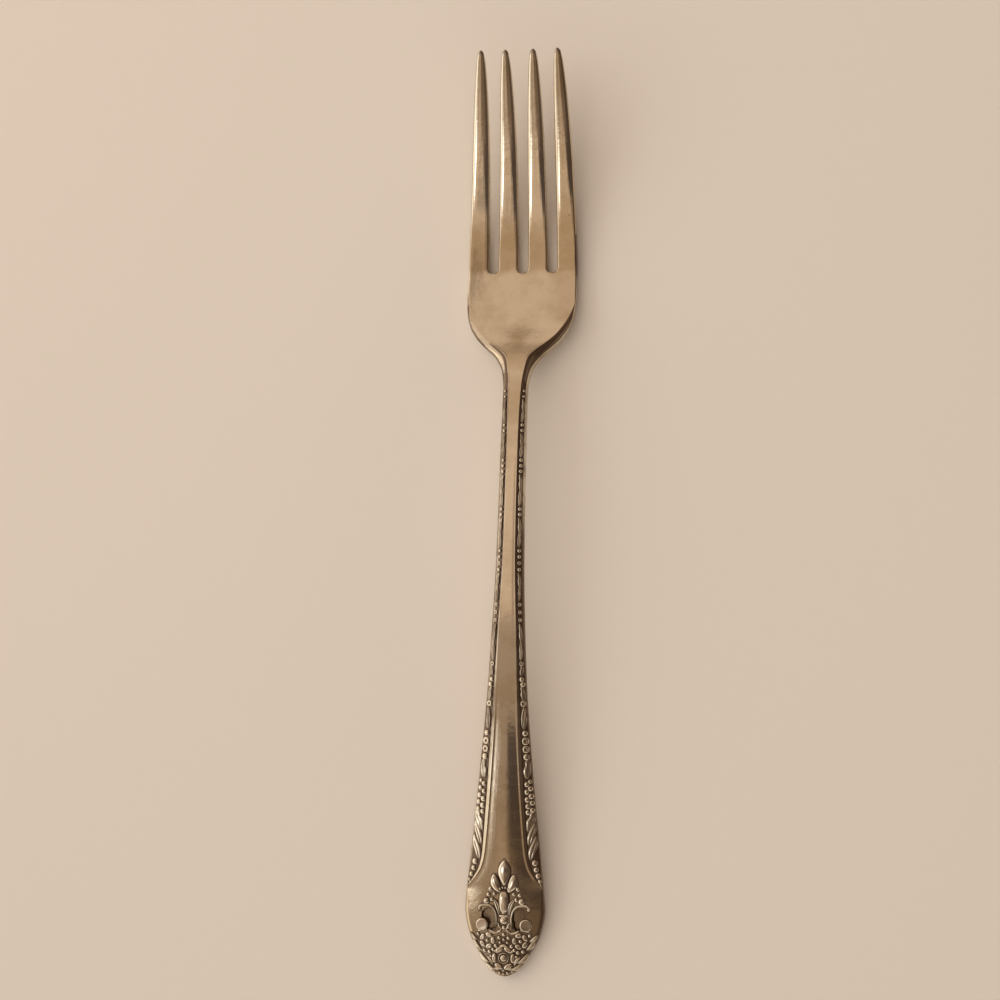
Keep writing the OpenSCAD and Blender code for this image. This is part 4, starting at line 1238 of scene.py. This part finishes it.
floorLook = {
    "halfSize": 2,
    "color": (0.96, 0.9, 0.83, 1),
    "roughness": 0.85,
    "gloss": 0.1,
}
floorMesh = bpy.data.meshes.new("floor")
bm = bmesh.new()
bmesh.ops.create_grid(bm, x_segments=1, y_segments=1, size=floorLook["halfSize"])
bm.to_mesh(floorMesh)
bm.free()
floor = bpy.data.objects.new("floor", floorMesh)
bpy.context.collection.objects.link(floor)
paleFloor = bpy.data.materials.new("paleFloor")
paleFloor.use_nodes = True
shader = paleFloor.node_tree.nodes["Principled BSDF"]
shader.inputs["Base Color"].default_value = floorLook["color"]
shader.inputs["Roughness"].default_value = floorLook["roughness"]
shader.inputs["Specular IOR Level"].default_value = floorLook["gloss"]
floorMesh.materials.append(paleFloor)

# The room that the metal mirrors: colours, and where each one lies by direction
room = {
    "ceiling": (0.465, 0.35, 0.26, 1),
    "lowWall": (1.0, 0.93, 0.84, 1),
    "endWall": (1.0, 0.93, 0.84, 1),
    "softBox": (3.4, 3.5, 3.6, 1),
    "glow": (0.62, 0.475, 0.36, 1),
    "backdrop": (0.62, 0.49, 0.38, 1),
    "rightLow": (0.12, 0.085, 0.065, 1),
    "rightWall": (0.22, 0.15, 0.1, 1),
    "shade": (0.1, 0.076, 0.065, 1),
}
# Each row is painted over those above it; an edge runs from none at its first number to all at its second
roomAreas = [
    ("glow", ("Y", -0.21, -0.29), ("X", -0.27, -0.21)),
    ("rightWall", ("X", 0.12, 0.3)),
    ("shade", ("X", -0.148, -0.133), ("Y", -0.13, -0.155), ("Y", -0.34, -0.27)),
    ("rightWall", ("X", -0.148, -0.133), ("Y", -0.27, -0.34)),
    ("rightLow", ("X", 0.3, 0.45)),
    ("lowWall", ("Y", 0.84, 0.93)),
    ("endWall", ("Y", -0.62, -0.74)),
    ("lowWall", ("X", 0.93, 0.98)),
    ("lowWall", ("X", -0.36, -0.9)),
    ("softBox", ("X", -0.62, -0.5), ("X", -0.28, -0.38), ("Y", -0.29, -0.22), ("Y", -0.11, -0.18)),
    ("backdrop", ("Z", 0.3, 0.2)),
]
world = bpy.data.worlds.new("room")
bpy.context.scene.world = world
world.use_nodes = True
tree = world.node_tree
coords = newNode(tree, "ShaderNodeTexCoord")
axes = newNode(tree, "ShaderNodeSeparateXYZ", [("Vector", coords.outputs["Generated"])])
color = room["ceiling"]
for name, *edges in roomAreas:
    share = None
    for axis, start, end in edges:
        edge = ramp(tree, axes.outputs[axis], start, end)
        share = edge if share is None else math2(tree, "MULTIPLY", share, edge)
    color = colorMix(tree, share, color, room[name])
tree.links.new(color, tree.nodes["Background"].inputs["Color"])
print("floor and room done")


def softLight(name, place, target, size, color, watts):
    data = bpy.data.lights.new(name, "AREA")
    data.shape = "RECTANGLE"
    data.size, data.size_y = size
    data.color = color
    data.energy = watts
    lamp = bpy.data.objects.new(name, data)
    lamp.location = place
    lamp.rotation_euler = (Vector(target) - Vector(place)).to_track_quat("-Z", "Y").to_euler()
    bpy.context.collection.objects.link(lamp)
    return lamp


lights = {
    "overPlace": (-0.245, 0.2, 0.32),
    "overTarget": (-0.245, 0.2, 0),
    "overSize": (0.45, 0.44),
    "overColor": (0.31, 0.25, 0.19),
    "windowPlace": (-2.25, -0.2, 1.05),
    "windowTarget": (0, 0, 0),
    "windowSize": (5.5, 1.7),
    "windowColor": (1, 0.95, 0.88),
    "windowWatts": 18.0,
    "fillPlace": (0.05, 0, 1.2),
    "fillTarget": (0.05, 0, 0),
    "fillSize": (1, 1),
    "fillWatts": 1.5,
}
overWatts = math.pi * lights["overSize"][0] * lights["overSize"][1]   # it then looks as bright as its colour
softLight("overheadLight", lights["overPlace"], lights["overTarget"], lights["overSize"], lights["overColor"],
          overWatts)
softLight("windowLight", lights["windowPlace"], lights["windowTarget"], lights["windowSize"], lights["windowColor"],
          lights["windowWatts"])
fill = softLight("fillLight", lights["fillPlace"], lights["fillTarget"], lights["fillSize"], lights["windowColor"],
                 lights["fillWatts"])
fill.visible_glossy = False   # it lightens the shadow and isn't mirrored in the metal

view = {
    "lens": 72,
    "sensor": 36,
    "place": (0.0701, -0.0561, 0.4083),
    "right": (0.9843, 0.0288, -0.1743),
    "ahead": (-0.1766, 0.1392, -0.9744),
}
camData = bpy.data.cameras.new("camera")
camData.lens = view["lens"]
camData.sensor_width = view["sensor"]
camera = bpy.data.objects.new("camera", camData)
right = Vector(view["right"]).normalized()
ahead = Vector(view["ahead"]).normalized()
up = right.cross(ahead).normalized()
right = ahead.cross(up)
turned = Matrix((right, up, -ahead)).transposed().to_4x4()
camera.matrix_world = Matrix.Translation(view["place"]) @ turned
bpy.context.collection.objects.link(camera)
bpy.context.scene.camera = camera
bpy.context.scene.view_settings.view_transform = "Standard"
print("lights and camera done")
